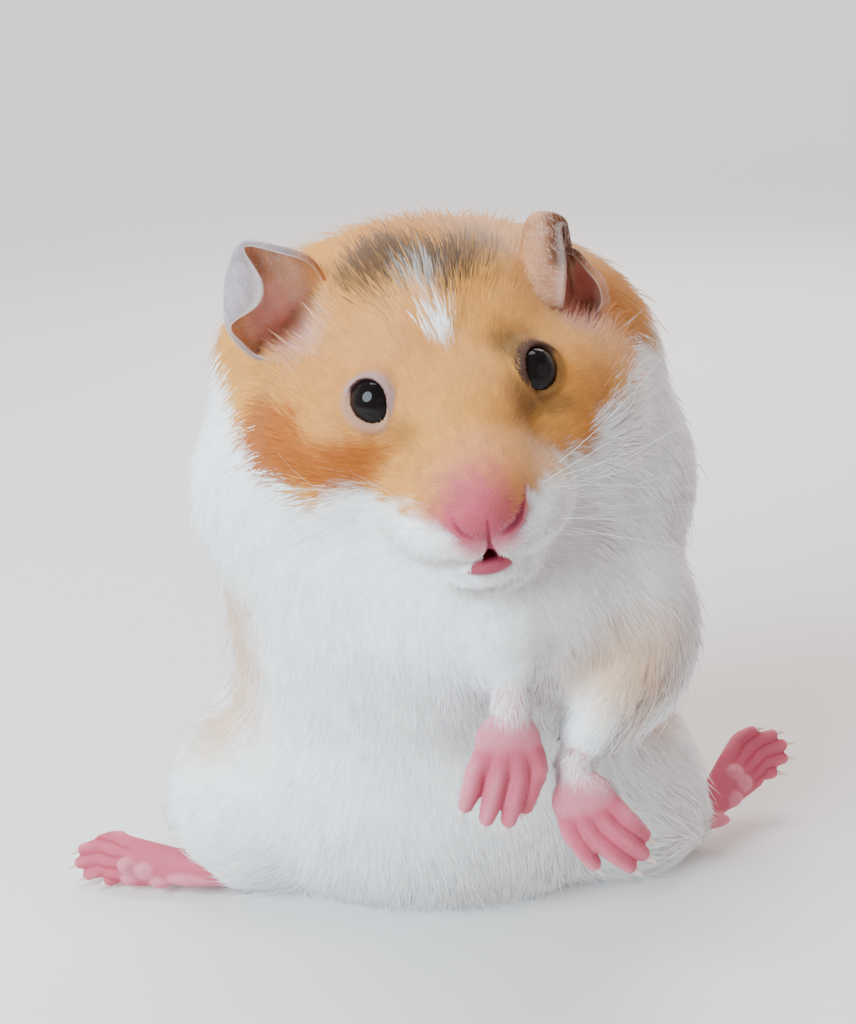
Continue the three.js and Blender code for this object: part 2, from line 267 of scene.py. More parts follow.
@dataclass
class Surface:
    """A mesh as arrays: vertices in millimetres and faces of three or four corners."""

    vertices: Array
    faces: list[Array]

    def triangles(self) -> Array:
        """Lists the corners of its triangles, with each four-cornered face cut in two."""
        return np.vstack([f[:, [0, i, i + 1]] for f in self.faces for i in range(1, f.shape[1] - 1)])

    def to_mesh(self, name: str, place: Place) -> bpy.types.Mesh:
        """Puts the arrays into a new mesh, in the frame's metres.

        Args:
            name: The mesh's name.
            place: The carrier from the animal's millimetres into the frame.

        Returns:
            The mesh, with smooth faces.
        """
        mesh = bpy.data.meshes.new(name)
        corners = np.concatenate([f.ravel() for f in self.faces])
        sizes = np.concatenate([np.full(len(f), f.shape[1]) for f in self.faces])
        mesh.vertices.add(len(self.vertices))
        mesh.vertices.foreach_set("co", place.metres(self.vertices).astype(np.float32).ravel())
        mesh.loops.add(len(corners))
        mesh.loops.foreach_set("vertex_index", corners.astype(np.int32))
        mesh.polygons.add(len(sizes))
        starts = np.concatenate([[0], np.cumsum(sizes)[:-1]])
        mesh.polygons.foreach_set("loop_start", starts.astype(np.int32))
        mesh.update(calc_edges=True)
        mesh.validate()
        mesh.polygons.foreach_set("use_smooth", np.ones(len(mesh.polygons), bool))
        return mesh


def banded(function: Field, axes: list[Array], step: float, stride: int = 4) -> Array:
    """Reads a field on a grid, exactly near its zero level and roughly far from it.

    Args:
        function: The field, whose slope is about 1.
        axes: The grid's places along X, Y and Z.
        step: Its spacing.
        stride: How many steps apart the first, rough reading is.

    Returns:
        The values, as a grid of single floats.
    """
    coarse = np.stack(np.meshgrid(*(axis[::stride] for axis in axes), indexing="ij"), -1)
    rough = function(coarse.reshape(-1, 3)).reshape(coarse.shape[:-1])
    for k, axis in enumerate(axes):
        rough = np.repeat(rough, stride, axis=k).take(range(len(axis)), axis=k)
    values = rough.astype(np.float32)
    close = np.argwhere(np.abs(values) < step * stride * 2.0)
    points = np.stack([a[close[:, k]] for k, a in enumerate(axes)], -1)
    values[tuple(close.T)] = function(points)
    return values


def level_surface(function: Field, low: Array | Point, high: Array | Point, step: float) -> Surface:
    """Draws the surface on which a field is zero.

    The field is read on a cubic grid and the grid's zero level is turned into squares; each corner
    is then moved down the field's slope until it lies on the true level.

    Args:
        function: The field, negative inside.
        low: The lowest corner of the box that holds the surface.
        high: Its highest corner.
        step: The grid's spacing, in millimetres.

    Returns:
        The closed surface, with its faces outwards.
    """
    axes = [np.arange(a, b + step, step) for a, b in zip(low, high)]
    values = banded(function, axes, step)
    grid = openvdb.FloatGrid(background=10.0)
    grid.copyFromArray(values)
    vertices, triangles, quads = grid.convertToPolygons(isovalue=0.0, adaptivity=0.0)
    vertices = vertices.astype(float) * step + np.array(low)
    near = np.flatnonzero(np.abs(function(vertices)) < 1.5 * step)
    for _ in range(2):
        close = vertices[near]
        gradient = slope(function, close)
        steepness = np.maximum((gradient**2).sum(-1, keepdims=True), 0.1)
        move = function(close)[:, None] * gradient / steepness
        vertices[near] -= np.clip(move, -step, step)
    faces = [f.astype(np.int64) for f in (triangles, quads) if len(f)]
    middle = vertices[faces[-1]].mean(1)
    across = np.cross(
        vertices[faces[-1][:, 2]] - vertices[faces[-1][:, 0]],
        vertices[faces[-1][:, 3 % faces[-1].shape[1]]] - vertices[faces[-1][:, 1]],
    )
    if (across * slope(function, middle)).sum() < 0:
        faces = [f[:, ::-1] for f in faces]
    return Surface(vertices, faces)


def net_faces(rows: int, columns: int, close_rows: bool = False) -> Array:
    """Gives the four-cornered faces of a net that closes round its columns.

    Args:
        rows: How many rows of vertices it has.
        columns: How many vertices each row has.
        close_rows: Whether the last row joins on to the first.

    Returns:
        One row of four vertex numbers for each face.
    """
    i = np.arange(rows if close_rows else rows - 1)[:, None]
    j = np.arange(columns)[None, :]
    below, right = (i + 1) % rows, (j + 1) % columns
    quads = [i * columns + j, i * columns + right, below * columns + right, below * columns + j]
    return np.stack([np.broadcast_to(q, (len(i), columns)) for q in quads], -1).reshape(-1, 4)


def capped_net(rings: Array) -> Surface:
    """Closes a net of rings with one vertex at the middle of each end ring.

    Args:
        rings: Vertices as rows, columns and coordinates.

    Returns:
        The closed surface.
    """
    rows, columns, _ = rings.shape
    ends = np.stack([rings[0].mean(0), rings[-1].mean(0)])
    vertices = np.vstack([rings.reshape(-1, 3), ends])
    j = np.arange(columns)
    k = (j + 1) % columns
    last = (rows - 1) * columns
    first_fan = np.stack([np.full(columns, rows * columns), k, j], -1)
    last_fan = np.stack([np.full(columns, rows * columns + 1), last + j, last + k], -1)
    return outward(Surface(vertices, [np.vstack([first_fan, last_fan]), net_faces(rows, columns)]))


def outward(surface: Surface) -> Surface:
    """Turns a closed surface's faces outwards, by the sign of the volume that it holds."""
    a, b, c = surface.vertices[surface.triangles()].transpose(1, 0, 2)
    if (a * np.cross(b, c)).sum() < 0:
        surface.faces = [f[:, ::-1] for f in surface.faces]
    return surface


def joined(surfaces: Sequence[Surface]) -> Surface:
    """Lists several surfaces as one."""
    faces: dict[int, list[Array]] = {}
    base = 0
    for s in surfaces:
        for f in s.faces:
            faces.setdefault(f.shape[1], []).append(f + base)
        base += len(s.vertices)
    return Surface(np.vstack([s.vertices for s in surfaces]), [np.vstack(f) for f in faces.values()])


# ---- the animal's form


@dataclass(frozen=True)
class Place:
    """Carries the animal's own millimetres into the frame's metres."""

    origin: Array

    def metres(self, points: Array) -> Array:
        """Turns points in the animal's millimetres into the frame's metres."""
        return (np.asarray(points, float) - self.origin) / MM_PER_METRE


class Side(Enum):
    """The animal's own two sides, as the sign of X."""

    RIGHT = -1
    LEFT = 1

    @property
    def word(self) -> str:
        """Gives the side's name as node names spell it."""
        return self.name.lower()


@dataclass(frozen=True)
class HeadPose:
    """The head's frame: its origin is midway between the eyes and its nose points to -Y."""

    origin: Point = (4.2, -23.0, 79.0)
    yaw: float = 7.5
    pitch: float = 4.0
    roll: float = -6.5

    @property
    def turn(self) -> Array:
        """Gives the matrix from the head's axes to the animal's."""
        return rotation(2, self.yaw) @ rotation(0, self.pitch) @ rotation(1, self.roll)

    def out(self, points: Array | Point) -> Array:
        """Carries points from the head's frame into the animal's."""
        return np.asarray(points, float) @ self.turn.T + np.array(self.origin)

    def into(self, points: Array) -> Array:
        """Carries points from the animal's frame into the head's."""
        return (points - np.array(self.origin)) @ self.turn

    def aim(self, vectors: Array | Point) -> Array:
        """Turns directions from the head's frame into the animal's."""
        return np.asarray(vectors, float) @ self.turn.T


NOSE_TIP: Point = (-0.5, -16.0, -10.6)


@dataclass(frozen=True)
class Eye:
    """An eye and its lids, in the head's frame.

    Attributes:
        radius: The ball's radius.
        at: The left eye's centre; the right one mirrors it.
        outlook: The way out of the lids on the left.
        opening: The radius of the ring along which the lids run.
        lid: Half the thickness of the lids' rim.
        corner: How far the inner corner draws the ring out.
    """

    radius: float = 3.4
    at: Point = (9.1, 1.5, -1.1)
    outlook: Point = (0.62, -0.70, 0.34)
    opening: float = 2.95
    lid: float = 0.30
    corner: float = 0.6

    def centre(self, side: Side) -> Array:
        """Gives the ball's centre on one side."""
        return np.array(self.at) * (side.value, 1, 1)

    def axis(self, side: Side) -> Array:
        """Gives the way out of the lids on one side, as a unit vector."""
        return unit(np.array(self.outlook) * (side.value, 1, 1))

    def inward(self, side: Side) -> Array:
        """Gives the way from the opening's middle to its inner corner."""
        axis = self.axis(side)
        down = np.array([-side.value * 0.6, -0.35, -0.75])
        return unit(down - (down @ axis) * axis)

    def ball(self, local: Array, side: Side) -> Array:
        """Gives the distance to the ball's surface."""
        return length_of(local - self.centre(side)) - self.radius

    def rim(self, local: Array, side: Side) -> Array:
        """Gives the distance to the lids' rounded rim, a ring that the inner corner draws out."""
        along, reach, ring = self.around(local, side)
        height = np.sqrt(np.maximum(self.radius**2 - ring**2, 0.01)) + 0.1
        return np.hypot(reach - ring, along - height) - self.lid

    def around(self, local: Array, side: Side) -> tuple[Array, Array, Array]:
        """Gives the way along the eye's axis, the way from it, and the radius of the opening."""
        out = local - self.centre(side)
        axis = self.axis(side)
        along = out @ axis
        across = out - along[..., None] * axis
        reach = length_of(across)
        toward = np.clip(across @ self.inward(side) / np.maximum(reach, 1e-6), 0, 1)
        return along, reach, self.opening + self.corner * toward**8

    def lids(self, local: Array, side: Side) -> Array:
        """Gives the distance to the lids: a thin shell over the ball, open inside their rim."""
        along, reach, ring = self.around(local, side)
        gap = np.where(along > 0, ring - reach, -1.0)
        shell = np.maximum(self.ball(local, side) - 0.42, gap)
        return soft_union(np.stack([self.rim(local, side), shell]), 0.12)


EYE = Eye()


@dataclass(frozen=True)
class Muzzle:
    """The bare end of the face, in the head's frame: nose pad, nostrils, cleft, lips and mouth."""

    middle: float = -0.7
    pad: Mass = Mass((-0.6, -14.9, -10.2), (2.9, 1.9, 2.3))
    wings: tuple[Mass, ...] = (
        Mass((-2.9, -14.5, -11.0), (1.5, 1.5, 1.5)),
        Mass((1.9, -14.5, -11.0), (1.5, 1.5, 1.5)),
    )
    nostrils: tuple[Chain, ...] = (
        Chain(
            path=((-4.6, -14.9, -9.6), (-3.9, -15.6, -11.1), (-2.3, -16.1, -12.6)),
            radii=(0.1, 0.3, 0.14),
            reach=2.5,
        ),
        Chain(
            path=(
                (4.4, -13.9, -8.5), (3.8, -15.2, -10.0), (2.8, -16.1, -11.4), (1.5, -16.5, -12.3),
                (0.5, -16.5, -12.8),
            ),
            radii=(0.12, 0.36, 0.62, 0.5, 0.2),
            links=9,
            reach=2.5,
        ),
    )
    lips: tuple[Mass, ...] = (
        Mass((-4.8, -10.4, -13.4), (4.6, 4.2, 3.2)),
        Mass((3.6, -10.4, -13.4), (4.6, 4.2, 3.2)),
        Mass((-2.7, -13.2, -13.7), (2.5, 2.3, 1.8)),
        Mass((1.2, -13.2, -13.7), (2.3, 2.3, 1.8)),
    )
    mouth: Chain = Chain(
        path=((-2.4, -14.4, -16.1), (-0.8, -15.2, -15.8), (0.8, -14.3, -16.4)),
        radii=(0.14, 0.58, 0.14),
        reach=2.5,
    )
    lower_lip: Mass = Mass((-0.9, -13.0, -17.1), (2.7, 1.8, 0.95))
    chin: Mass = Mass((-0.7, -9.8, -19.0), (4.6, 3.8, 2.3))

    def shaped(self, flesh: Array, local: Array) -> Array:
        """Adds the muzzle's forms to the distance to the flesh and cuts its openings."""
        full = flesh
        layers = (((*self.lips, self.chin), 0.8), ((self.pad, *self.wings, self.lower_lip), 0.4))
        for masses, blend in layers:
            full = soft_union(np.stack([full, *(m.distance(local) for m in masses)]), blend)
        cuts = [c.distance(local) for c in (*self.nostrils, self.mouth)]
        cuts.append(self.cleft(full, local))
        return -soft_union(np.stack([-full, soft_union(np.stack(cuts), 0.12)]), 0.12)

    def rosy(self, local: Array) -> Array:
        """Gives the distance to the nose pad and its wings."""
        return nearest((self.pad, *self.wings), local)

    def hollow(self, local: Array) -> Array:
        """Gives how far a point on the muzzle's surface lies from its openings."""
        wide = np.interp(local[..., 2], [-15.9, -15.0, -13.6, -10.4], [0.88, 0.6, 0.1, -0.04])
        ends = np.maximum(local[..., 2] + 10.4, -16.3 - local[..., 2])
        ends = np.maximum(ends, local[..., 1] + 11)
        groove = np.maximum(np.abs(local[..., 0] - self.middle) - wide, ends)
        return np.minimum(nearest((*self.nostrils, self.mouth), local), groove)

    def cleft(self, full: Array, local: Array) -> Array:
        """Gives the distance to the groove from the nose down to the mouth.

        Its middle line lies on the flesh, and it widens on its way down.
        """
        heights = [-15.9, -15.2, -14.2, -12.6, -10.4]
        deep = np.interp(local[..., 2], heights, [0.92, 0.72, 0.3, 0.17, 0.08])
        ends = np.maximum(local[..., 2] + 10.2, -16.2 - local[..., 2])
        line = np.hypot(local[..., 0] - self.middle, np.maximum(full, -9.0)) - deep
        return np.maximum(line, np.maximum(ends, local[..., 1] + 10.0))


MUZZLE = Muzzle()


@dataclass(frozen=True)
class Paw:
    """One paw or foot: chains of bone and flesh, pads, and the measures of its claws.

    Attributes:
        node: The solid that it stands for.
        chains: The digits with their metacarpals, or the sole and toes.
        pads: The pale pads under it.
        claw_length: How far the claws stand out of the digits.
        curl: The direction in which the claws bend.
        blend: How softly its parts flow together.
        step: The grid's spacing for its skin.
    """

    node: str
    chains: tuple[Chain, ...]
    pads: tuple[Mass, ...]
    claw_length: float
    curl: Point
    blend: float = 0.22
    step: float = 0.22

    def distance(self, points: Array) -> Array:
        """Gives the distance to the paw's skin."""
        return flowed((*self.chains, *self.pads), points, self.blend)

    def beyond_knuckles(self, points: Array) -> Array:
        """Gives 0 on the back of the paw and 1 on its digits."""
        wrist = np.array(self.chains[0].path[1])
        knuckles = np.mean([length_of(np.array(c.path[2]) - wrist) for c in self.chains])
        return ease(length_of(points - wrist), 0.78 * knuckles, 1.1 * knuckles)

    def box(self, margin: float = 1.6) -> tuple[Array, Array]:
        """Gives the corners of the box that holds it."""
        line = np.vstack([c.nodes()[0] for c in self.chains])
        reach = max(max(c.radii) for c in self.chains) + margin
        return line.min(0) - reach, line.max(0) + reach


def fan(
    arm: Sequence[Point], palms: Sequence[Point], tips: Sequence[Point], radii: Sequence[float], bow: Point
) -> tuple[Chain, ...]:
    """Makes digits that leave one arm, each through its own knuckle to its own tip.

    Args:
        arm: The way that all the digits' bones share, down to the wrist.
        palms: The knuckles.
        tips: The ends of the digits.
        radii: Radii at even stations from the arm to the tip.
        bow: How far the middle of each digit stands out of line.

    Returns:
        One chain for each digit.
    """
    chains = []
    for knuckle, tip in zip(palms, tips):
        middle = (np.array(knuckle) + np.array(tip)) / 2 + np.array(bow)
        chains.append(Chain((*arm, knuckle, tuple(middle), tip), tuple(radii), 11))
    return tuple(chains)


@dataclass
class Form:
    """The whole animal's form as fields: the coat's outline, and the skin inside it.

    Attributes:
        head: The head's pose.
        least_depth: The coat's depth where there is hardly any hair.
        loft: How much of the hair's length adds to that depth.
        seat_height: How high the skin lies above the floor, in millimetres.
        trunk_blend: How softly the trunk's masses flow together; the other blends are alike.
        trunk_masses: The trunk's masses.
        head_masses: The head's masses, in the head's frame.
        sleeves: The forelegs, right and left.
        shanks: The hair-covered ends of the hind legs, right and left.
    """

    head: HeadPose = field(default_factory=HeadPose)
    least_depth: float = 0.25
    loft: float = 0.36
    seat_height: float = 0.15
    trunk_blend: float = 3.4
    head_blend: float = 2.0
    neck_blend: float = 2.4
    sleeve_blend: float = 1.8
    trunk_masses: tuple[Mass, ...] = (
        Mass((0, 3, 17), (33.5, 26, 24)),  # haunches and belly
        Mass((2.5, 3, 38), (31, 26, 27)),  # waist
        Mass((2.5, 0, 59), (34.5, 24, 22)),  # shoulders and ruff
        Mass((2.5, 4, 75), (30, 18, 19.5)),  # nape
        Mass((3, -14, 48), (21, 13, 17)),  # breast
        Mass((25, -15, 42), (9, 11, 13)),  # left elbow
        Mass((3, -21, 51), (8, 8, 9)),  # right elbow
        Mass((10, -22, 47.5), (13, 9, 10)),  # long hair between the arms
        Mass((-28, -2, 13.5), (12, 13.5, 10.5)),  # right thigh
        Mass((27, 0, 10), (11.5, 15, 12)),  # left thigh
    )
    head_masses: tuple[Mass, ...] = (
        Mass((0, 14, 2.4), (14.5, 13, 13)),  # braincase
        Mass((-12.5, 10, -9), (12, 13, 12)),  # right cheek
        Mass((12.5, 10, -9), (12, 13, 12)),  # left cheek
        Mass((0, 1, -2.5), (8, 9, 6)),  # brow and bridge
        Mass((0, -7, -8.5), (6, 7.5, 5.5)),  # muzzle
        Mass((0, -12, -9.5), (3.4, 3.6, 3.2)),  # tip of the snout
        Mass((-5.2, -5.5, -12.8), (6, 7, 4.6)),  # right whisker pad
        Mass((5.2, -5.5, -12.8), (6, 7, 4.6)),  # left whisker pad
        Mass((0, -5, -18.6), (4.8, 6.6, 3.2)),  # chin
    )
    sleeves: tuple[Chain, ...] = (
        Chain(((5, -21, 52), (8, -28.6, 49.2), (9.2, -31.7, 46.4)), (6.5, 5.2, 3.0)),
        Chain(((25.5, -16, 44), (22.4, -25.2, 40), (18.3, -31.1, 35.9)), (7.3, 6.0, 3.4)),
    )
    shanks: tuple[Chain, ...] = (
        Chain(((-21, -6, 7), (-26.5, -6.6, 5), (-30, -6.8, 4.3)), (4.4, 3.4, 2.6)),
        Chain(((29, -3.5, 6), (34.5, -2.2, 4.8), (38, -0.8, 4.8)), (4.6, 3.4, 2.6)),
    )

    def outline(self, points: Array) -> Array:
        """Gives the distance to the tips of the coat."""
        local = self.head.into(points)
        trunk = flowed(self.trunk_masses, points, self.trunk_blend)
        head = flowed(self.head_masses, local, self.head_blend)
        body = soft_union(np.stack([trunk, head]), self.neck_blend)
        limbs = [c.distance(points) for c in self.sleeves + self.shanks]
        return soft_union(np.stack([body, *limbs]), self.sleeve_blend)

    def coat_length(self, points: Array) -> Array:
        """Gives the length of the hair at each place, in millimetres.

        It grows with the way from the nose, from 0.5 there to 7.2 on the ruff, and shortens again
        round the eyes, down the arms to the wrists and over the hind feet.
        """
        local = self.head.into(points)
        reaches, lengths = [2, 5, 10, 16, 24, 32, 42], [0.5, 0.8, 1.5, 2.4, 4.0, 5.6, 7.2]
        length = np.interp(length_of(local - np.array(NOSE_TIP)), reaches, lengths)
        for side in Side:
            from_eye = length_of(local - EYE.centre(side))
            short = np.interp(from_eye, [3.6, 4.6, 8.0, 11.0], [0.5, 1.2, 3.0, 5.0])
            length = np.minimum(length, short)
        for chains, lengths in ((self.sleeves, [2.4, 4.4, 7]), (self.shanks, [1.8, 3.6, 6])):
            for chain in chains:
                from_end = length_of(points - np.array(chain.path[-1]))
                length = np.minimum(length, np.interp(from_end, [1, 6, 15], lengths))
        return length

    def coat_depth(self, points: Array) -> Array:
        """Gives how far the skin lies inside the outline: hair that lies at about 21 degrees."""
        return self.least_depth + self.loft * self.coat_length(points)

    def skin(self, points: Array) -> Array:
        """Gives the distance to the skin, cut flat where the animal sits."""
        seat = self.seat_height - points[..., 2]
        return np.maximum(self.outline(points) + self.coat_depth(points), seat)

    def face(self, points: Array) -> Array:
        """Gives the distance to the skin with the muzzle's forms, the lids and the eyes' sockets."""
        local = self.head.into(points)
        flesh = MUZZLE.shaped(self.skin(points), local)
        for side in Side:
            flesh = soft_union(np.stack([flesh, EYE.lids(local, side)]), 0.35)
            flesh = np.maximum(flesh, -0.06 - EYE.ball(local, side))
        return flesh


# The radii of each digit, at even stations from the arm or leg to its tip.
HAND = (1.5, 1.9, 1.75, 1.3, 1.22, 1.2, 0.95)
FOOT = (2.5, 2.3, 1.75, 1.45, 1.2, 1.1, 1.05, 0.85)

FOREPAW_RIGHT = Paw(
    "forepaw_right",
    fan(
        ((9.3, -32.2, 45.6), (9.0, -34.2, 41.2)),
        ((4.7, -36.3, 35.6), (7.0, -37.1, 34.9), (9.4, -37.0, 34.8), (11.6, -36.1, 35.6)),
        ((3.0, -36.8, 30.9), (5.4, -37.9, 29.6), (8.0, -37.9, 29.2), (10.1, -37.0, 30.4)),
        HAND,
        (0, -0.5, 0.1),
    ),
    (Mass((8.3, -35.3, 38.2), (3.8, 1.75, 3.9)),),
    1.9,
    (0, 0.8, -0.4),
)
FOREPAW_LEFT = Paw(
    "forepaw_left",
    fan(
        ((18.2, -31.4, 36.0), (16.4, -33.8, 32.4)),
        ((15.4, -36.2, 26.9), (17.5, -36.9, 26.6), (19.6, -36.8, 27.3), (20.9, -35.9, 28.8)),
        ((18.1, -37.0, 22.0), (22.3, -37.9, 22.0), (23.9, -37.6, 23.4), (24.2, -36.5, 25.3)),
        HAND,
        (-0.1, -0.5, 0.2),
    ),
    (Mass((17.2, -35.3, 29.7), (3.8, 1.75, 3.8)),),
    2.3,
    (0.2, 0.8, -0.4),
)
HIND_FOOT_RIGHT = Paw(
    "hind_foot_right",
    fan(
        ((-27.0, -7.0, 4.6), (-34.0, -6.6, 3.9)),
        (
            (-45.6, -5.0, 2.0), (-47.4, -4.6, 2.9), (-47.8, -4.0, 4.1), (-47.4, -3.4, 5.2),
            (-45.8, -3.0, 6.0),
        ),
        (
            (-49.4, -4.6, 1.4), (-52.6, -3.8, 2.0), (-53.8, -3.0, 3.6), (-53.2, -2.2, 5.4),
            (-50.4, -1.6, 6.4),
        ),
        FOOT,
        (0.2, 0.5, 0.5),
    ),
    (
        Mass((-35.4, -7.6, 3.0), (4.6, 1.3, 1.1)),
        Mass((-41.4, -7.0, 2.2), (1.3, 0.9, 0.9)),
        Mass((-43.6, -6.3, 3.8), (1.3, 0.9, 1.0)),
        Mass((-46.4, -5.9, 4.6), (1.1, 0.8, 0.9)),
        Mass((-46.0, -6.0, 2.4), (1.1, 0.8, 0.8)),
    ),
    1.7,
    (-0.1, -0.8, -0.6),
    0.3,
    0.26,
)
HIND_FOOT_LEFT = Paw(
    "hind_foot_left",
    fan(
        ((33.0, -3.0, 5.0), (38.4, -1.0, 5.4)),
        ((47.0, 3.4, 7.4), (47.2, 3.9, 8.6), (46.8, 4.4, 9.7), (45.8, 4.9, 10.6), (44.2, 5.2, 11.2)),
        ((50.4, 4.4, 8.2), (52.2, 5.4, 10.0), (52.2, 6.2, 11.9), (50.8, 6.8, 13.4), (47.8, 7.0, 14.0)),
        FOOT,
        (-0.3, 0.5, 0.3),
    ),
    (
        Mass((39.0, -2.6, 4.9), (3.6, 1.3, 1.2)),
        Mass((43.6, 0.2, 6.6), (1.2, 0.9, 1.1)),
        Mass((45.4, 1.6, 8.4), (1.1, 0.9, 1.0)),
        Mass((44.2, 2.2, 9.8), (1.1, 0.9, 1.0)),
    ),
    1.7,
    (0.1, -0.8, -0.5),
    0.3,
    0.26,
)
FOREPAWS = (FOREPAW_RIGHT, FOREPAW_LEFT)
PAWS = (*FOREPAWS, HIND_FOOT_RIGHT, HIND_FOOT_LEFT)
TAIL = Chain(((1, 20, 7), (1, 29, 4.6), (1.6, 35.4, 2.6)), (3.5, 2.6, 1.9, 1.3), 8)


# ---- ears


@dataclass(frozen=True)
class Ear:
    """A thin cupped ear whose rim may be folded over.

    Seen from its hollow, the ear runs from its canal out to its edge, and from there back over
    itself to the folded rim. Each of these is a closed loop of points, in the same order.

    Attributes:
        node: The solid that it stands for; it is not read.
        canal: The deepest point of its hollow.
        edge: The loop that its outline follows.
        rim: For each point of the edge, how far the rim lies from it.
        bulge: How far its back swells out behind the straight way from canal to edge.
        wall: Its thickness.
        around: How many points go round it.
        inner: How many rows lie between canal and edge.
        outer: How many rows lie between edge and rim.
    """

    node: str
    canal: Point
    edge: tuple[Point, ...]
    rim: tuple[Point, ...]
    bulge: float = 1.3
    wall: float = 0.42
    around: int = 120
    inner: int = 26
    outer: int = 12

    def stations(self) -> tuple[Array, Array]:
        """Gives the share of the way of each row from canal to edge, and from edge to rim."""
        return np.linspace(0.03, 1, self.inner), np.linspace(0, 1, self.outer + 1)[1:]

    def front(self) -> Array:
        """Works out the ear's hollow side.

        From canal to edge the way out at each angle is canal + (edge - canal) s, less the bulge
        4 s (1 - s) along the hollow's axis. From there it is edge + rim t, and the fold stands out
        of the hollow by up to 0.16 of the rim's length.

        Returns:
            Rows from canal to rim, points round the ear, coordinates.
        """
        edge = closed_path(self.edge, self.around)[None]
        rim = closed_path(self.rim, self.around)[None]
        canal = np.array(self.canal)
        out = unit(edge.mean((0, 1)) * [1, 0, 1] + [0, edge[..., 1].min() - 6, 0] - canal)
        s, t = (rows[:, None, None] for rows in self.stations())
        bowl = canal + (edge - canal) * s - 4 * self.bulge * s * (1 - s) * out
        height = 0.16 * length_of(rim)[..., None] * np.sin(np.pi * t**0.8)
        return np.concatenate([bowl, edge + rim * t + height * out])

    def way(self) -> Array:
        """Says where each vertex lies: 0 to 1 from canal to edge, to 2 at the rim, 3 more behind."""
        inner, outer = self.stations()
        front = np.concatenate([inner, 1 + outer])
        rows = np.concatenate([front, 3 + front[::-1]])
        return np.concatenate([np.repeat(rows, self.around), [0.01, 3.0]])

    def surface(self) -> Surface:
        """Builds the closed ear, as its front joined at the rim to a back one wall behind it."""
        front = self.front()
        down = np.gradient(front, axis=0)
        round_ = np.gradient(np.concatenate([front[:, -1:], front, front[:, :1]], 1), axis=1)[:, 1:-1]
        normal = unit(np.cross(down, round_))
        thin = np.interp(np.linspace(0, 1, len(front)), [0, 0.8, 1], [1.3, 1, 0.5])[:, None, None]
        back = front - normal * self.wall * thin * np.sign((normal * [0, -1, 0]).sum(-1).mean())
        return capped_net(np.concatenate([front, back[::-1]]))


EAR_RIGHT = Ear(
    node="ear_right",
    canal=(-17.4, -6.2, 82.9),
    edge=(
        (-11.0, -7.0, 88.0), (-12.6, -8.4, 91.7), (-16.0, -9.4, 93.4), (-20.5, -10.0, 94.2),
        (-22.4, -10.0, 90.7), (-23.0, -10.2, 87.7), (-23.1, -10.0, 84.4), (-22.0, -8.6, 81.6),
        (-20.0, -7.6, 79.6), (-16.8, -8.4, 79.3), (-13.2, -10.2, 80.9), (-11.0, -9.6, 84.4),
    ),
    rim=(
        (-0.2, -0.2, -0.3), (-0.1, -0.4, -0.5), (-0.1, -0.5, -0.5), (0.3, -0.5, -0.3),
        (4.1, -1.7, -0.8), (4.1, -1.9, -0.4), (0.5, -0.9, 0.2), (0.4, -0.5, 0.3), (0.2, -0.4, 0.3),
        (0, -0.2, 0.3), (-0.2, -0.2, 0.2), (-0.2, -0.2, 0),
    ),
)
EAR_LEFT = Ear(
    node="ear_left",
    canal=(20.6, -6.0, 85.0),
    edge=(
        (13.3, -11.6, 86.2), (13.5, -9.6, 90.6), (14.6, -9.0, 95.2), (16.8, -9.0, 95.8),
        (18.7, -8.6, 94.8), (18.9, -8.2, 92.6), (18.9, -7.6, 91.2), (20.2, -7.4, 90.8),
        (21.8, -7.6, 89.0), (23.5, -7.6, 86.8), (23.9, -7.2, 84.2), (22.2, -7.8, 82.4),
        (19.3, -9.8, 82.1), (16.3, -11.0, 83.8),
    ),
    rim=(
        (4.9, -0.9, -0.5), (5.2, -2.0, -0.6), (3.7, -1.6, -1.3), (1.7, -1.0, -1.3), (0.1, -0.6, -0.8),
        (-0.2, -0.6, -0.4), (-0.2, -0.5, -0.3), (-0.3, -0.5, -0.4), (-0.5, -0.6, -0.3),
        (-0.7, -0.7, -0.1), (-0.6, -0.6, 0.1), (-0.3, -0.3, 0.3), (0, -0.2, 0.3), (1.7, -0.5, 0.6),
    ),
)
EARS = (EAR_RIGHT, EAR_LEFT)


# ---- markings


class Tone(Enum):
    """The colours of the coat and of the bare skin, as linear light."""

    WHITE = (0.87, 0.845, 0.85)
    CREAM = (0.70, 0.45, 0.29)
    GOLD = (0.61, 0.262, 0.050)
    ORANGE = (0.37, 0.092, 0.005)
    UMBER = (0.055, 0.027, 0.012)
    PEACH = (0.53, 0.175, 0.11)
    ROSE = (0.42, 0.058, 0.10)
    # Also the painted shade in the muzzle's openings.
    WINE = (0.24, 0.026, 0.052)
    PINK = (0.50, 0.095, 0.145)
    # The pads' own pale skin, and painted light on the digits.
    PALM = (0.66, 0.23, 0.29)
    # Painted shade, for where the digits meet.
    CREASE = (0.38, 0.045, 0.075)
    LILAC = (0.36, 0.29, 0.31)
    LID = (0.36, 0.215, 0.20)
    LID_DARK = (0.05, 0.02, 0.012)
    EAR = (0.52, 0.29, 0.18)
    # Painted shade, for the top of the left ear's flap.
    EAR_DARK = (0.12, 0.036, 0.012)
    EAR_ROSE = (0.60, 0.29, 0.25)
    EAR_PALE = (0.66, 0.60, 0.58)
    # Painted shade in the ears' canals, over their rosy skin.
    CANAL = (0.46, 0.15, 0.095)

    @property
    def light(self) -> Array:
        """Gives the colour as an array."""
        return np.array(self.value)

    def over(self, colour: Array, share: Array) -> Array:
        """Lays the colour over another, with a share of 0 to 1 for each point."""
        return mix(colour, self.light, share[..., None])


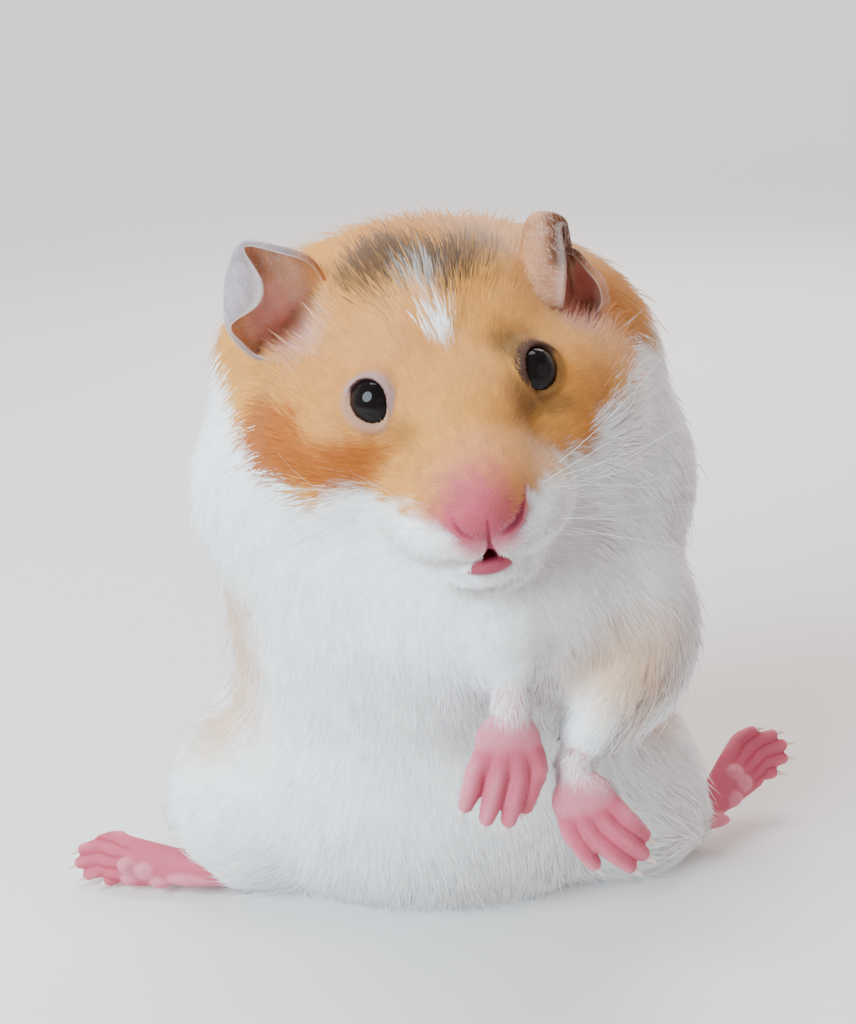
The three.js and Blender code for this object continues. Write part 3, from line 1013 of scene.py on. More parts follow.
@dataclass(frozen=True)
class Patch:
    """A soft-edged area of one colour.

    Attributes:
        tone: Its colour.
        at: Its centre.
        half: Its half sizes.
        soft: How wide its edge fades, as a share of its size.
        strength: How much of its colour it lays on.
    """

    tone: Tone
    at: Point
    half: Point
    soft: float = 0.35
    strength: float = 1.0

    def reach(self, points: Array) -> Array:
        """Gives the way from the patch's centre, as a share of its size."""
        return length_of((points - np.array(self.at)) / np.array(self.half))

    def laid_on(self, colour: Array, points: Array, wander: Array) -> Array:
        """Lays the patch over a colour.

        Args:
            colour: The colour so far, one row for each point.
            points: The points, in the patch's own frame.
            wander: How far its edge wanders at each point, as a share of its size.

        Returns:
            The new colour.
        """
        share = self.strength * (1 - ease(self.reach(points) + wander, 1 - self.soft, 1 + self.soft))
        return self.tone.over(colour, share)


FACE_PATCHES = (
    Patch(Tone.CREAM, (-9, 0, 7), (9, 9, 6), 0.7, 0.15),
    Patch(Tone.ORANGE, (-9, 4, 4), (15, 13, 11), 0.7, 0.24),
    Patch(Tone.ORANGE, (-22.5, 6.0, -5.5), (6.5, 9.5, 5.6), 0.3),
    Patch(Tone.ORANGE, (-15.8, -2.5, -6.8), (6.4, 6.5, 3.8), 0.35),
    Patch(Tone.ORANGE, (13.4, -4.4, -9.6), (4.6, 5.0, 3.6), 0.6, 0.5),
    Patch(Tone.ORANGE, (23.5, 14, 0.5), (6.0, 9.0, 6.0), 0.5, 0.5),
    Patch(Tone.ORANGE, (16.0, -1.2, -4.6), (3.6, 4.2, 5.8), 0.6, 0.45),
    Patch(Tone.ORANGE, (0, 19, 14.5), (16, 7, 5), 0.5, 0.5),
    Patch(Tone.UMBER, (-6.8, 12.6, 12.9), (5.8, 6.2, 3.4), 0.5, 0.9),
    Patch(Tone.UMBER, (1.6, 8.0, 13.0), (6.4, 4.8, 2.9), 0.5, 0.95),
    Patch(Tone.UMBER, (8.2, 12.0, 13.4), (4.2, 4.4, 3.0), 0.5, 0.6),
    Patch(Tone.UMBER, (8.0, 1.2, 2.7), (3.4, 3.0, 2.2), 0.7, 0.75),
    Patch(Tone.UMBER, (6.6, -3.4, -2.4), (2.4, 2.6, 2.6), 0.7, 0.65),
    Patch(Tone.UMBER, (10.8, -3.4, -4.1), (3.0, 2.2, 1.3), 0.7, 0.6),
    Patch(Tone.UMBER, (-6.6, -3.8, -3.4), (2.0, 2.4, 1.6), 0.8, 0.3),
    Patch(Tone.WHITE, (-0.6, 1.8, 7.6), (1.35, 2.6, 2.5), 0.5, 1.0),
    Patch(Tone.WHITE, (-1.6, 6.6, 11.8), (2.0, 3.0, 1.5), 0.9, 0.3),
    Patch(Tone.CREAM, (7.0, -9.0, -9.6), (4.0, 5.0, 3.6), 0.9, 0.6),
    Patch(Tone.PEACH, (-1.2, -12.4, -7.0), (4.6, 4.8, 4.6), 0.6, 0.65),
    Patch(Tone.ROSE, (-1.4, -15.2, -10.6), (5.4, 4.0, 5.0), 0.5, 0.8),
    Patch(Tone.ROSE, (-4.8, -13.0, -12.6), (3.4, 3.2, 3.0), 0.7, 0.6),
    Patch(Tone.ROSE, (3.6, -13.4, -11.6), (2.8, 3.2, 3.0), 0.8, 0.35),
    # Painted shade: the lids' greyish colour laid lightly over the left upper lip, which lies in shade.
    Patch(Tone.LID, (5.6, -11.0, -13.4), (3.6, 4.4, 3.4), 0.9, 0.28),
)
EAR_PATCHES = (
    Patch(Tone.EAR, (-14.4, -11, 84.4), (4.4, 6, 4.4), 0.5, 0.7),
    Patch(Tone.EAR_ROSE, (-16.4, -10, 83.8), (3.8, 6, 3.8), 0.6, 0.8),
    # Painted shade in the right ear's canal.
    Patch(Tone.CANAL, (-17.3, -9, 82.5), (1.9, 6, 1.8), 0.9, 0.75),
    Patch(Tone.EAR_ROSE, (20.6, -9.5, 85.6), (3.8, 6, 4.4), 0.4, 0.85),
    # Painted shade in the left ear's canal.
    Patch(Tone.CANAL, (20.2, -9.5, 85.6), (2.4, 6, 3.0), 0.7, 0.95),
)

# Over the left elbow: partly the coat's own cream, partly painted shade of the animal's shaded left side.
ELBOW_PATCH = Patch(Tone.CREAM, (23.5, -27, 44), (7, 9, 6), 0.7, 0.9)


@dataclass
class Markings:
    """Where each colour of the coat lies, the same for the hair and for the skin under it.

    Attributes:
        form: The animal's form.
        edge_ripple: The broad waves of the colours' edges.
        fine_ripple: Their fine waves.
        edge_wander: How far the broad waves move an edge, as a share of a patch's size.
        fine_wander: How far the fine ones do.
        line_wander: How far both move the golden cap's lower line, in millimetres.
    """

    form: Form
    edge_ripple: Ripple = Ripple(9.0, 11)
    fine_ripple: Ripple = Ripple(2.6, 12)
    edge_wander: float = 0.10
    fine_wander: float = 0.07
    line_wander: float = 9.0

    def coat(self, points: Array) -> Array:
        """Gives the coat's colour at each point, in the animal's millimetres."""
        local = self.form.head.into(points)
        wander = self.edge_wander * self.edge_ripple.at(points)
        wander = wander + self.fine_wander * self.fine_ripple.at(points)
        gold = np.maximum(self.back_share(points, wander), self.crown_share(local, wander))
        colour = Tone.GOLD.over(Tone.WHITE.light, gold)
        for patch in FACE_PATCHES:
            colour = patch.laid_on(colour, local, wander * 1.2)
        below = 1 - ease(self.above_jaw(local, wander), -1.6, 1.4)
        ahead = 1 - ease(points[..., 1], 2, 12)
        colour = Tone.WHITE.over(colour, below * ahead * self.off_muzzle(local))
        flank = ease(points[..., 1] + 16 * wander, -14, -6)
        flank = flank * (1 - ease(np.abs(points[..., 2] - 36), 9, 17))
        flank = flank * ease(np.abs(points[..., 0]), 14, 22)
        colour = Tone.CREAM.over(colour, 0.9 * flank * (1 - gold))
        # The elbow's cream, strengthened with painted shade.
        colour = ELBOW_PATCH.laid_on(colour, points, wander)
        colour = self.round_eyes(colour, local)
        ticking = ease(points[..., 1], 10, 22) * gold
        ticking = ticking * (0.5 + 0.5 * self.fine_ripple.at(points * 1.7))
        colour = Tone.UMBER.over(colour, np.clip(0.35 * ticking, 0, 0.45))
        return self.hollow(colour, points)

    def round_eyes(self, colour: Array, local: Array) -> Array:
        """Lays the greyish ring round the right eye, and the dark brown one round the left."""
        for side, tone, share in ((Side.RIGHT, Tone.LID, 0.6), (Side.LEFT, Tone.UMBER, 0.7)):
            _, reach, ring = EYE.around(local, side)
            near = (1 - ease(reach - ring, 0.3, 1.4)) * (1 - ease(EYE.ball(local, side), 0.6, 1.6))
            colour = tone.over(colour, share * near)
        return colour

    def hollow(self, colour: Array, points: Array) -> Array:
        """Lays the ears' hollows over a colour: rosy skin, with painted shade in the canals."""
        for patch in EAR_PATCHES:
            colour = patch.laid_on(colour, points, np.zeros(len(points)))
        return colour

    def back_share(self, points: Array, wander: Array) -> Array:
        """Gives the golden saddle's share: behind a line down each flank, with a white band above."""
        line = np.interp(points[..., 2], [0, 12, 34, 48], [6, 3, -4, 4])
        saddle = ease(points[..., 1] - line + 22 * wander, -2.0, 3.0)
        band = ease(np.abs(points[..., 2] - 57 + 20 * wander), 6.0, 8.0)
        return saddle * band

    def crown_share(self, local: Array, wander: Array) -> Array:
        """Gives the golden cap's share: the whole top of the head and the nape."""
        return ease(self.above_jaw(local, wander), -1.4, 1.6)

    def above_jaw(self, local: Array, wander: Array) -> Array:
        """Gives the height above the line between the golden cap and the white cheeks."""
        across = np.interp(
            local[..., 0],
            [-29, -25, -20, -10, -5, 0, 5, 9, 14, 17, 21, 28],
            [1, -9, -10.6, -10, -12, -12, -8.6, -9.6, -10.4, -8.2, -5.6, -5.6],
        )
        line = across + np.interp(local[..., 1], [12, 30], [0, 3])
        return local[..., 2] - line + self.line_wander * wander

    def off_muzzle(self, local: Array) -> Array:
        """Gives 0 on the rosy end of the muzzle and 1 away from it."""
        return ease(Patch(Tone.ROSE, (-0.6, -14.4, -11.4), (4.6, 5.0, 4.2)).reach(local), 0.7, 1.15)

    def ear(self, points: Array, way: Array) -> Array:
        """Gives the colour of the ears' skin, with painted shade on the left flap's top right and in the
        canals.

        Args:
            points: Points on an ear.
            way: Where each lies: 0 to 1 from canal to edge, to 2 at the rim, and 3 more behind.

        Returns:
            One colour for each point.
        """
        right = (points[..., 0] < 0).astype(float)
        mottle = 0.9 + 0.1 * self.fine_ripple.at(points)[..., None]
        inner = self.hollow(Tone.EAR.over(Tone.EAR_ROSE.light, ease(way, 0.35, 0.75)), points)
        # Painted shade on the top right of the left ear's folded flap, which is turned away from the lamp.
        shaded = ease(points[..., 0], 15.6, 17.4) * ease(points[..., 2], 88.5, 91)
        flap = Tone.EAR_DARK.over(Tone.EAR.light * np.array([0.9, 0.74, 0.66]), shaded)
        outer = Tone.LILAC.over(flap, right)
        folded = ease(way, 1.02, 1.12)
        colour = mix(inner, outer, folded[..., None]) * mottle
        rim = 1 - ease(np.abs(np.where(way > 2.5, 5 - way, 2 - way)), 0.05, 0.3)
        colour = Tone.EAR_PALE.over(colour, rim * mix(0.3, 0.7, right))
        medial = ease(np.abs(points[..., 0]), 16.0, 12.0) * ease(way, 0.5, 0.95)
        return mix(colour, self.coat(points) * 0.9, (0.7 * medial)[..., None])

    def skin(self, points: Array) -> Array:
        """Gives the skin's colour: the coat's, a little darkened as painted shade, where hair covers it,
        and pink or lilac where bare.
        """
        local = self.form.head.into(points)
        coat = self.coat(points)
        bare = 1 - ease(length_of(local - np.array(NOSE_TIP)), 3.5, 8.0)
        # Under the hair the skin takes the coat's colour darkened by 7 per cent, as painted shade beneath
        # the coat.
        colour = mix(coat * 0.93, mix(Tone.PINK.light, coat, 0.45), bare[..., None])
        proud = self.form.skin(points)
        for paw in PAWS:
            near = (1 - ease(paw.distance(points), 0.15, 0.5)) * ease(proud, -0.4, 0.3)
            colour = mix(colour, self.paw(paw, points), near[..., None])
        tail = (1 - ease(TAIL.distance(points), 0.1, 0.6)) * ease(proud, -0.3, 0.6)
        colour = mix(colour, mix(Tone.WHITE.light, Tone.PINK.light, 0.5), tail[..., None])
        return self.muzzle(self.lids(colour, local), local)

    def paw(self, paw: Paw, points: Array) -> Array:
        """Gives the colour of a paw's skin: pink, with painted shade dark red where the digits meet, pale
        pads, and painted light pale on the digits away from their neighbours.
        """
        gaps = np.sort(np.stack([c.distance(points) for c in paw.chains]), axis=0)
        ridge = gaps[1] - gaps[0]
        toes = paw.beyond_knuckles(points)
        # Painted shade: dark red where one digit lies close to the next.
        colour = Tone.CREASE.over(Tone.PINK.light, toes * (1 - ease(ridge, -0.05, 0.45)))
        # Painted light: paler on the digits away from their neighbours; the pads below are pale skin.
        colour = Tone.PALM.over(colour, 0.8 * toes * ease(ridge, 0.7, 2.4))
        return Tone.PALM.over(colour, 0.7 * (1 - ease(nearest(paw.pads, points), 0.1, 0.6)))

    def lids(self, colour: Array, local: Array) -> Array:
        """Lays the lids' skin over a colour, darkest at their edge."""
        for side in Side:
            tone = Tone.LID if side is Side.RIGHT else Tone.LID_DARK
            rim = EYE.rim(local, side)
            colour = tone.over(colour, 1 - ease(rim, 0.4, 0.8))
            _, reach, ring = EYE.around(local, side)
            edge = (1 - ease(reach - ring, -0.05, 0.22)) * (1 - ease(rim, 0.4, 0.6))
            colour = Tone.LID_DARK.over(colour, 0.85 * edge)
        return colour

    def muzzle(self, colour: Array, local: Array) -> Array:
        """Lays the nose pad, the lower lip and painted shade in the openings over a colour."""
        colour = Tone.ROSE.over(colour, 0.75 * (1 - ease(MUZZLE.rosy(local), 0.2, 1.4)))
        lip = 1 - ease(MUZZLE.lower_lip.distance(local), 0.2, 0.6)
        colour = mix(colour, mix(Tone.ROSE.light, Tone.WINE.light, 0.45), (0.97 * lip)[..., None])
        # Dark wine in the nostrils, cleft and mouth: their own rosy inside, deepened by painted shade,
        # weaker on the animal's lit right side.
        depth = np.where(local[..., 0] < -1.6, 0.45, 0.95)
        return Tone.WINE.over(colour, depth * (1 - ease(MUZZLE.hollow(local), -0.05, 0.34)))


# ---- joining solids


class Operation(Enum):
    """What a boolean does with its second mesh."""

    UNION = "UNION"
    CUT = "DIFFERENCE"
    COMMON = "INTERSECT"


def combined(first: bpy.types.Mesh, second: bpy.types.Mesh, operation: Operation) -> bpy.types.Mesh:
    """Joins or cuts two closed meshes.

    Args:
        first: The mesh that is worked on.
        second: The mesh that is added or taken away.
        operation: What is done.

    Returns:
        A new mesh; the two given ones are removed.
    """
    holder = bpy.data.objects.new("holder", first)
    tool = bpy.data.objects.new("tool", second)
    for obj in (holder, tool):
        bpy.context.scene.collection.objects.link(obj)
    modifier = holder.modifiers.new("join", "BOOLEAN")
    modifier.operation = operation.value
    modifier.solver = "MANIFOLD"
    modifier.object = tool
    depsgraph = bpy.context.evaluated_depsgraph_get()
    result = bpy.data.meshes.new_from_object(holder.evaluated_get(depsgraph))
    for obj in (holder, tool):
        bpy.data.objects.remove(obj)
    for mesh in (first, second):
        bpy.data.meshes.remove(mesh)
    return result


def tube(path: Array, radii: Array, sides: int = 8) -> Surface:
    """Carries a circle along a path, with its size given at each point.

    Args:
        path: The points of the middle line.
        radii: The radius at each point.
        sides: How many corners the circle has.

    Returns:
        The closed tube.
    """
    ahead = unit(np.gradient(path, axis=0))
    reference = np.eye(3)[np.argmin(np.abs(ahead).max(0))]
    across = unit(np.cross(ahead, reference))
    upward = np.cross(ahead, across)
    turn = np.linspace(0, 2 * np.pi, sides, endpoint=False)[None, :, None]
    ring = np.cos(turn) * across[:, None] + np.sin(turn) * upward[:, None]
    return capped_net(path[:, None] + radii[:, None, None] * ring)


def slab(form: Form, low: Array | Point, high: Array | Point) -> Surface:
    """Makes a box whose lowest and highest corners are given in the head's frame."""
    corners = np.array([[x, y, z] for x in (0, 1) for y in (0, 1) for z in (0, 1)], float)
    corners = np.array(low) + corners * (np.array(high) - np.array(low))
    quads = [[0, 1, 3, 2], [4, 6, 7, 5], [0, 4, 5, 1], [2, 3, 7, 6], [0, 2, 6, 4], [1, 5, 7, 3]]
    return outward(Surface(form.head.out(corners), [np.array(quads)]))


def chain_skin(chain: Chain, step: float) -> Surface:
    """Draws the surface of one chain."""
    line, radii = chain.nodes()
    reach = radii.max() + 4 * step
    return level_surface(chain.distance, line.min(0) - reach, line.max(0) + reach, step)


@dataclass
class Skin:
    """The one skin of the whole animal.

    The body is drawn coarsely and the front of the face finely; the two are parted by the same box
    and joined, and the ears, paws, feet and tail are then joined on.
    """

    form: Form
    place: Place
    body_step: float = 0.8
    face_step: float = 0.22
    body_low: Point = (-42.0, -42.0, -2.0)
    body_high: Point = (44.0, 34.0, 98.0)
    face_low: Point = (-16.5, -20.0, -23.5)
    face_high: Point = (16.5, 4.6, 9.0)
    overlap: float = 0.04

    def body(self) -> Surface:
        """Draws the skin of head, trunk and limbs without the face's fine forms."""
        return level_surface(self.form.skin, self.body_low, self.body_high, self.body_step)

    def face(self) -> Surface:
        """Draws the skin at the front of the face, a little beyond its box."""
        corners = slab(self.form, self.face_low, self.face_high).vertices
        margin = 6 * self.face_step
        low, high = corners.min(0) - margin, corners.max(0) + margin
        return level_surface(self.form.face, low, high, self.face_step)

    def mesh(self, body: Surface) -> bpy.types.Mesh:
        """Joins every part of the skin.

        Args:
            body: The coarse skin of the body.

        Returns:
            The one closed mesh.
        """
        low, high = np.array(self.face_low), np.array(self.face_high)
        inner, outer = (
            slab(self.form, low - margin, high + margin).to_mesh("box", self.place)
            for margin in (0.0, self.overlap)
        )
        whole = combined(body.to_mesh("body", self.place), inner, Operation.CUT)
        front = combined(self.face().to_mesh("face", self.place), outer, Operation.COMMON)
        whole = combined(whole, front, Operation.UNION)
        for ear in EARS:
            shell = ear.surface().to_mesh("ear", self.place)
            Layer.NUMBER.write(shell, "ear_way", ear.way())
            whole = combined(whole, shell, Operation.UNION)
        parts = [level_surface(p.distance, *p.box(), p.step) for p in PAWS]
        parts.append(chain_skin(TAIL, 0.45))
        for part in parts:
            whole = combined(whole, part.to_mesh("part", self.place), Operation.UNION)
        return whole


# ---- coat


@dataclass
class Lie:
    """Which way the hair lies at each place.

    Attributes:
        form: The animal's form.
        swirl: The waves in the coat.
        wave: How strong they are.
        source: The place on the muzzle that the hair of the head leads away from.
        parting: How far it is led round the eyes.
        lid_pull: How far it lies down from the lids.
    """

    form: Form
    swirl: Ripple = Ripple(16.0, 21)
    wave: float = 0.16
    source: Point = (-0.5, -12.0, -9.0)
    parting: float = 1.2
    lid_pull: float = 3.0

    def along(self, points: Array, normals: Array) -> Array:
        """Gives the unit vector, in the skin, in which the hair lies."""
        local = self.form.head.into(points)
        centre = length_of((local - np.array([0, 7, -5])) / np.array([20, 22, 19]))
        flow = mix(self.on_head(local), self.on_trunk(points), ease(centre, 0.95, 1.35)[..., None])
        for chain in self.form.sleeves + self.form.shanks:
            line, _ = chain.nodes()
            spans = ((points[:, None] - line[None]) ** 2).sum(-1)
            near = np.minimum(spans.argmin(1), len(line) - 2)
            arm = unit(line[near + 1] - line[near])
            share = 1 - ease(chain.distance(points), -1.0, 2.5)
            flow = mix(flow, arm, share[..., None])
        return in_plane(unit(flow) + self.wave * self.swirl.vector_at(points), normals)

    def on_head(self, local: Array) -> Array:
        """Gives the flow on the head: away from the nose, parting round the eyes, falling behind."""
        away = unit(local - np.array(self.source))
        falling = ease(-local[..., 2], 6, 16) * ease(local[..., 1], -8, 8)
        flow = away + np.array([0, 0.75, 0.1]) + falling[..., None] * np.array([0, 0, -1.1])
        for side in Side:
            out = local - EYE.centre(side)
            near = 1 - ease(length_of(out), 3.6, 8.5)
            lid = 1 - ease(EYE.ball(local, side), 0.55, 1.3)
            flow = flow + self.parting * near[..., None] * unit(out)
            flow = flow - self.lid_pull * lid[..., None] * EYE.axis(side)
        return self.form.head.aim(flow)

    def on_trunk(self, points: Array) -> Array:
        """Gives the flow on the trunk: downwards and a little out, and sideways over the hips."""
        x, y, z = np.moveaxis(points, -1, 0)
        spread = np.stack([0.4 * x / 30, 0.12 * y / 25, np.full(len(points), -1.0)], -1)
        hips = (1 - ease(z, 12, 26)) * ease(np.abs(x), 14, 24)
        sideways = np.sign(points[..., :1]) * np.array([1.0, 0, 0]) + np.array([0, -0.3, -0.3])
        return mix(spread, sideways, hips[..., None])


@dataclass(frozen=True)
class Zone:
    """How one kind of tuft is sown.

    Attributes:
        name: The name of its pieces.
        tufts: How many there are.
        pieces: Into how many pieces they are split.
        width: The breadth of a tuft at its middle.
        lock: The size of the locks into which the tips gather.
        gather: How far they gather, from 0 to 1.
        shortest: The least hair length of its part of the coat.
        longest: The greatest.
    """

    name: str
    tufts: int
    pieces: int
    width: float
    lock: float
    gather: float
    shortest: float
    longest: float


FACE_ZONE = Zone("coat_face", 98000, 3, 0.115, 1.2, 0.18, 0.0, 3.2)
BODY_ZONE = Zone("coat_body", 148000, 5, 0.22, 2.6, 0.3, 3.2, 99.0)
EAR_ZONE = Zone("coat_ear", 8000, 1, 0.06, 1.0, 0.0, 0.0, 0.9)
PAW_ZONE = Zone("coat_paw", 11000, 1, 0.045, 1.0, 0.0, 0.0, 0.75)


def ear_hair(points: Array) -> Array:
    """Gives the colour of the ears' down: grey on the right, tan on the left, golden at the head."""
    right = (points[:, :1] < 0).astype(float)
    tan = mix(Tone.EAR.light, Tone.WHITE.light, 0.25)
    grey = mix(Tone.LILAC.light, Tone.WHITE.light, 0.35)
    down = mix(tan, grey, right)
    outer = ease(np.abs(points[:, :1]), 12, 16)
    return mix(Tone.GOLD.light, down, outer * np.ones(3))


def wrist_share(points: Array) -> Array:
    """Gives 1 at the wrists of the forepaws, falling to 0 down on their backs."""
    starts = [np.array(p.chains[0].path[0]) for p in FOREPAWS]
    return 1 - ease(np.stack([length_of(points - start) for start in starts]).min(0), 3.6, 8.6)


def paw_hair(points: Array) -> Array:
    """Gives the colour of the paws' hair: white at the wrist and pink below it."""
    lower = mix(Tone.WHITE.light, Tone.PINK.light, 0.9)
    return Tone.WHITE.over(lower, 0.9 * wrist_share(points))


HASH_PRIMES = (73856093, 19349663, 83492791)
HASH_MODULUS = 100003
HASH_WAVES = (12.9898, 78.233, 37.719)
HASH_GAIN = 43758.5453


def scrambled(cells: Array, seed: int) -> Array:
    """Gives three numbers from 0 to 1 for each cell of a grid, always the same for one cell."""
    a, b, c = (cells[..., k] * prime for k, prime in enumerate(HASH_PRIMES))
    key = a ^ b ^ c ^ seed
    wave = np.sin(key[..., None] % HASH_MODULUS * np.array(HASH_WAVES)) * HASH_GAIN
    return wave - np.floor(wave)


def lock_centres(points: Array, size: float, seed: int) -> Array:
    """Gives the nearest of the centres that are strewn one to each cell of a grid."""
    cell = np.floor(points / size).astype(np.int64)
    best = np.full(len(points), 1e9)
    centre = np.zeros_like(points)
    for shift in np.stack(np.meshgrid(*[[-1, 0, 1]] * 3), -1).reshape(-1, 3):
        other = cell + shift
        place = (other + scrambled(other, seed)) * size
        gap = ((place - points) ** 2).sum(-1)
        nearer = gap < best
        best = np.where(nearer, gap, best)
        centre = np.where(nearer[:, None], place, centre)
    return centre


TUFT_ALONG = np.array([0.0, 0.5, 0.5, 0.5, 1.0])
TUFT_AROUND = np.array([0.5, 0.0, 0.5, 1.0, 0.5])
TUFT_FACES = np.array([[0, 1, 2], [0, 2, 3], [0, 3, 1], [4, 2, 1], [4, 3, 2], [4, 1, 3]])


@dataclass
class Tufts:
    """Tufts as arrays, each with five corners: a root, three round the middle, and a tip.

    Attributes:
        corners: Where the corners lie.
        normals: The normals that they are shaded by.
        tones: Their colours.
        unwrap: Their places in the bake map.
    """

    corners: Array
    normals: Array
    tones: Array
    unwrap: Array


@dataclass(frozen=True)
class Growth:
    """How much the tufts differ from each other.

    Attributes:
        length: The least and greatest share of the coat's length.
        depth: The least and greatest share of the coat's depth.
        stray: The share that stand out of the coat, and how much more of them on the crown.
        longer: By how much of its length a stray is longer.
        sway: How far the directions are strewn.
        width: The least and greatest share of the zone's width.
        shade: How far one tuft's lightness differs from the next.
        lock_shade: How far one lock's lightness differs from the next.
        rise: How early a tuft rises from the skin; its height is depth * (1 - (1 - s) ** rise).
        flatness: Its thickness as a share of its width.
    """

    length: tuple[float, float] = (0.72, 1.12)
    depth: tuple[float, float] = (0.55, 1.08)
    stray: tuple[float, float] = (0.02, 0.14)
    longer: float = 0.6
    sway: float = 0.10
    width: tuple[float, float] = (0.7, 1.25)
    shade: float = 0.085
    lock_shade: float = 0.15
    rise: float = 1.7
    flatness: float = 0.55


@dataclass(frozen=True)
class Clearance:
    """How far the roots of the coat keep from the bare parts, in millimetres.

    Attributes:
        floor: From the floor.
        eye: From the ring along which the lids run.
        lip: From the lower lip.
        opening: From the nostrils, the cleft and the mouth.
        paw: From the paws' skin, under which hair still grows at the wrist.
        ear: From the middle of the ears' bare patches, as shares of their size.
    """

    floor: float = 0.6
    eye: float = 0.34
    lip: float = 0.25
    opening: float = 0.42
    paw: float = -0.5
    ear: tuple[float, float] = (0.75, 0.5)


GROWTH = Growth()
CLEARANCE = Clearance()
SEAT_HEIGHT = 0.12
UNWRAP_CENTRE = (3.0, 0.0, 50.0)
BAKE_PATCH = 0.003
UNWRAP_SHARE = 0.994


@dataclass
class Coat:
    """The fur: slim closed tufts that are rooted on the skin and lie along it.

    Attributes:
        form: The animal's form.
        place: The carrier into the frame.
        markings: Where its colours lie.
        lie: Which way its hair lies.
        skin: The surface that the roots are first strewn over.
        seed: The seed of every random draw.
    """

    form: Form
    place: Place
    markings: Markings
    lie: Lie
    skin: Surface
    seed: int = 7

    def roots(self, zone: Zone, rng: np.random.Generator) -> Array:
        """Strews root points over the zone's part of the skin."""
        corners = self.skin.triangles()
        a, b, c = self.skin.vertices[corners].transpose(1, 0, 2)
        area = length_of(np.cross(b - a, c - a)) / 2
        middle = (a + b + c) / 3
        length = self.form.coat_length(middle)
        share = area * (length >= zone.shortest) * (length < zone.longest)
        share = share * np.interp(length, [0.5, 2.0, 4.0, 7.0], [1.7, 1.3, 1.0, 0.8])
        pick = rng.choice(len(corners), zone.tufts, p=share / share.sum())
        u, v = rng.random((2, zone.tufts, 1))
        flip = u + v > 1
        u, v = np.where(flip, 1 - u, u), np.where(flip, 1 - v, v)
        points = a[pick] + (b - a)[pick] * u + (c - a)[pick] * v
        if zone is FACE_ZONE:
            points = np.vstack([points, self.lid_roots(rng)])
        ground = self.surface_of(zone)
        for _ in range(3):
            steep = slope(ground, points)
            steepness = np.maximum((steep**2).sum(-1, keepdims=True), 0.2)
            points -= np.clip(ground(points)[:, None] * steep / steepness, -1.0, 1.0)
        return points[self.kept(points, rng)]

    def lid_roots(self, rng: np.random.Generator, count: int = 2600) -> Array:
        """Strews root points over the lids, which stand proud of the plain skin."""
        made = []
        for side in Side:
            way = unit(rng.normal(size=(count, 3)))
            way = way[(way @ EYE.axis(side) > 0) & (way @ EYE.axis(side) < 0.6)]
            made.append(EYE.centre(side) + (EYE.radius + 0.45) * way)
        points = self.form.head.out(np.vstack(made))
        return points[self.form.skin(points) > 0.1]

    def surface_of(self, zone: Zone) -> Field:
        """Gives the surface that a zone's hair stands on: the fine face, or the plain skin."""
        return self.form.face if zone is FACE_ZONE else self.form.skin

    def kept(self, points: Array, rng: np.random.Generator) -> Array:
        """Says which roots stay: none on the lids, nose, mouth, ears, paws and the seat."""
        local = self.form.head.into(points)
        stay = points[..., 2] > CLEARANCE.floor
        for side in Side:
            along, reach, ring = EYE.around(local, side)
            stay &= (along < 0) | (reach > ring + CLEARANCE.eye)
        stay &= MUZZLE.rosy(local) > -0.1 + 1.0 * rng.random(len(points)) ** 2
        stay &= MUZZLE.lower_lip.distance(local) > CLEARANCE.lip
        stay &= (MUZZLE.hollow(local) > CLEARANCE.opening) | (local[..., 1] > -10)
        for paw in PAWS:
            stay &= paw.distance(points) > CLEARANCE.paw
        for patch in EAR_PATCHES:
            wild = rng.random(len(points))
            stay &= patch.reach(points) > CLEARANCE.ear[0] + CLEARANCE.ear[1] * wild
        return stay

    def grown(self, zone: Zone) -> Tufts:
        """Grows all the tufts of a zone.

        A tuft starts at its root, follows the lie of the coat and rises above the skin, as s runs
        from 0 at its root to 1 at its tip.

        Args:
            zone: The kind of tuft.

        Returns:
            The tufts.
        """
        rng = np.random.default_rng(self.seed + 1)
        root = self.roots(zone, rng)
        count = len(root)
        ground = self.surface_of(zone)
        normal = unit(slope(ground, root))
        length = self.form.coat_length(root) * rng.uniform(*GROWTH.length, count)
        crown = ease(self.form.head.into(root)[:, 2], 8, 13)
        strays = rng.random(count) < GROWTH.stray[0] + GROWTH.stray[1] * crown
        stray = 1 + GROWTH.longer * strays * (length > 2.0)
        length = length * stray
        depth = self.form.coat_depth(root) * rng.uniform(*GROWTH.depth, count) * stray
        travel = np.sqrt(np.maximum(length**2 - depth**2, 0.04))
        flow = self.lie.along(root, normal)
        flow = unit(flow + rng.normal(0, GROWTH.sway, (count, 3)))
        shifted = root + 0.4 * zone.lock * self.lie.swirl.vector_at(root * 2)
        pull = zone.gather * (lock_centres(shifted, zone.lock, self.seed) - root)
        pull -= (pull * normal).sum(-1, keepdims=True) * normal
        pull -= (pull * flow).sum(-1, keepdims=True) * flow
        line = [root]
        normals = [normal]
        for before, s in ((0.0, 0.5), (0.5, 1.0)):
            step = in_plane(flow, normals[-1]) * (travel * (s - before))[:, None]
            point = line[-1] + step + pull * (s**1.5 - before**1.5)
            steep = slope(ground, point)
            height = depth * (1 - (1 - s) ** GROWTH.rise)
            point = point + (height - ground(point))[:, None] * steep
            point[:, 2] = np.maximum(point[:, 2], SEAT_HEIGHT)
            line.append(point)
            normals.append(unit(steep))
        path = np.stack(line, 1)
        strewn = path[:, -2] + 0.16 * length[:, None] * rng.normal(size=(count, 3))
        return self.spindles(zone, path, np.stack(normals, 1), self.markings.coat(strewn), rng)

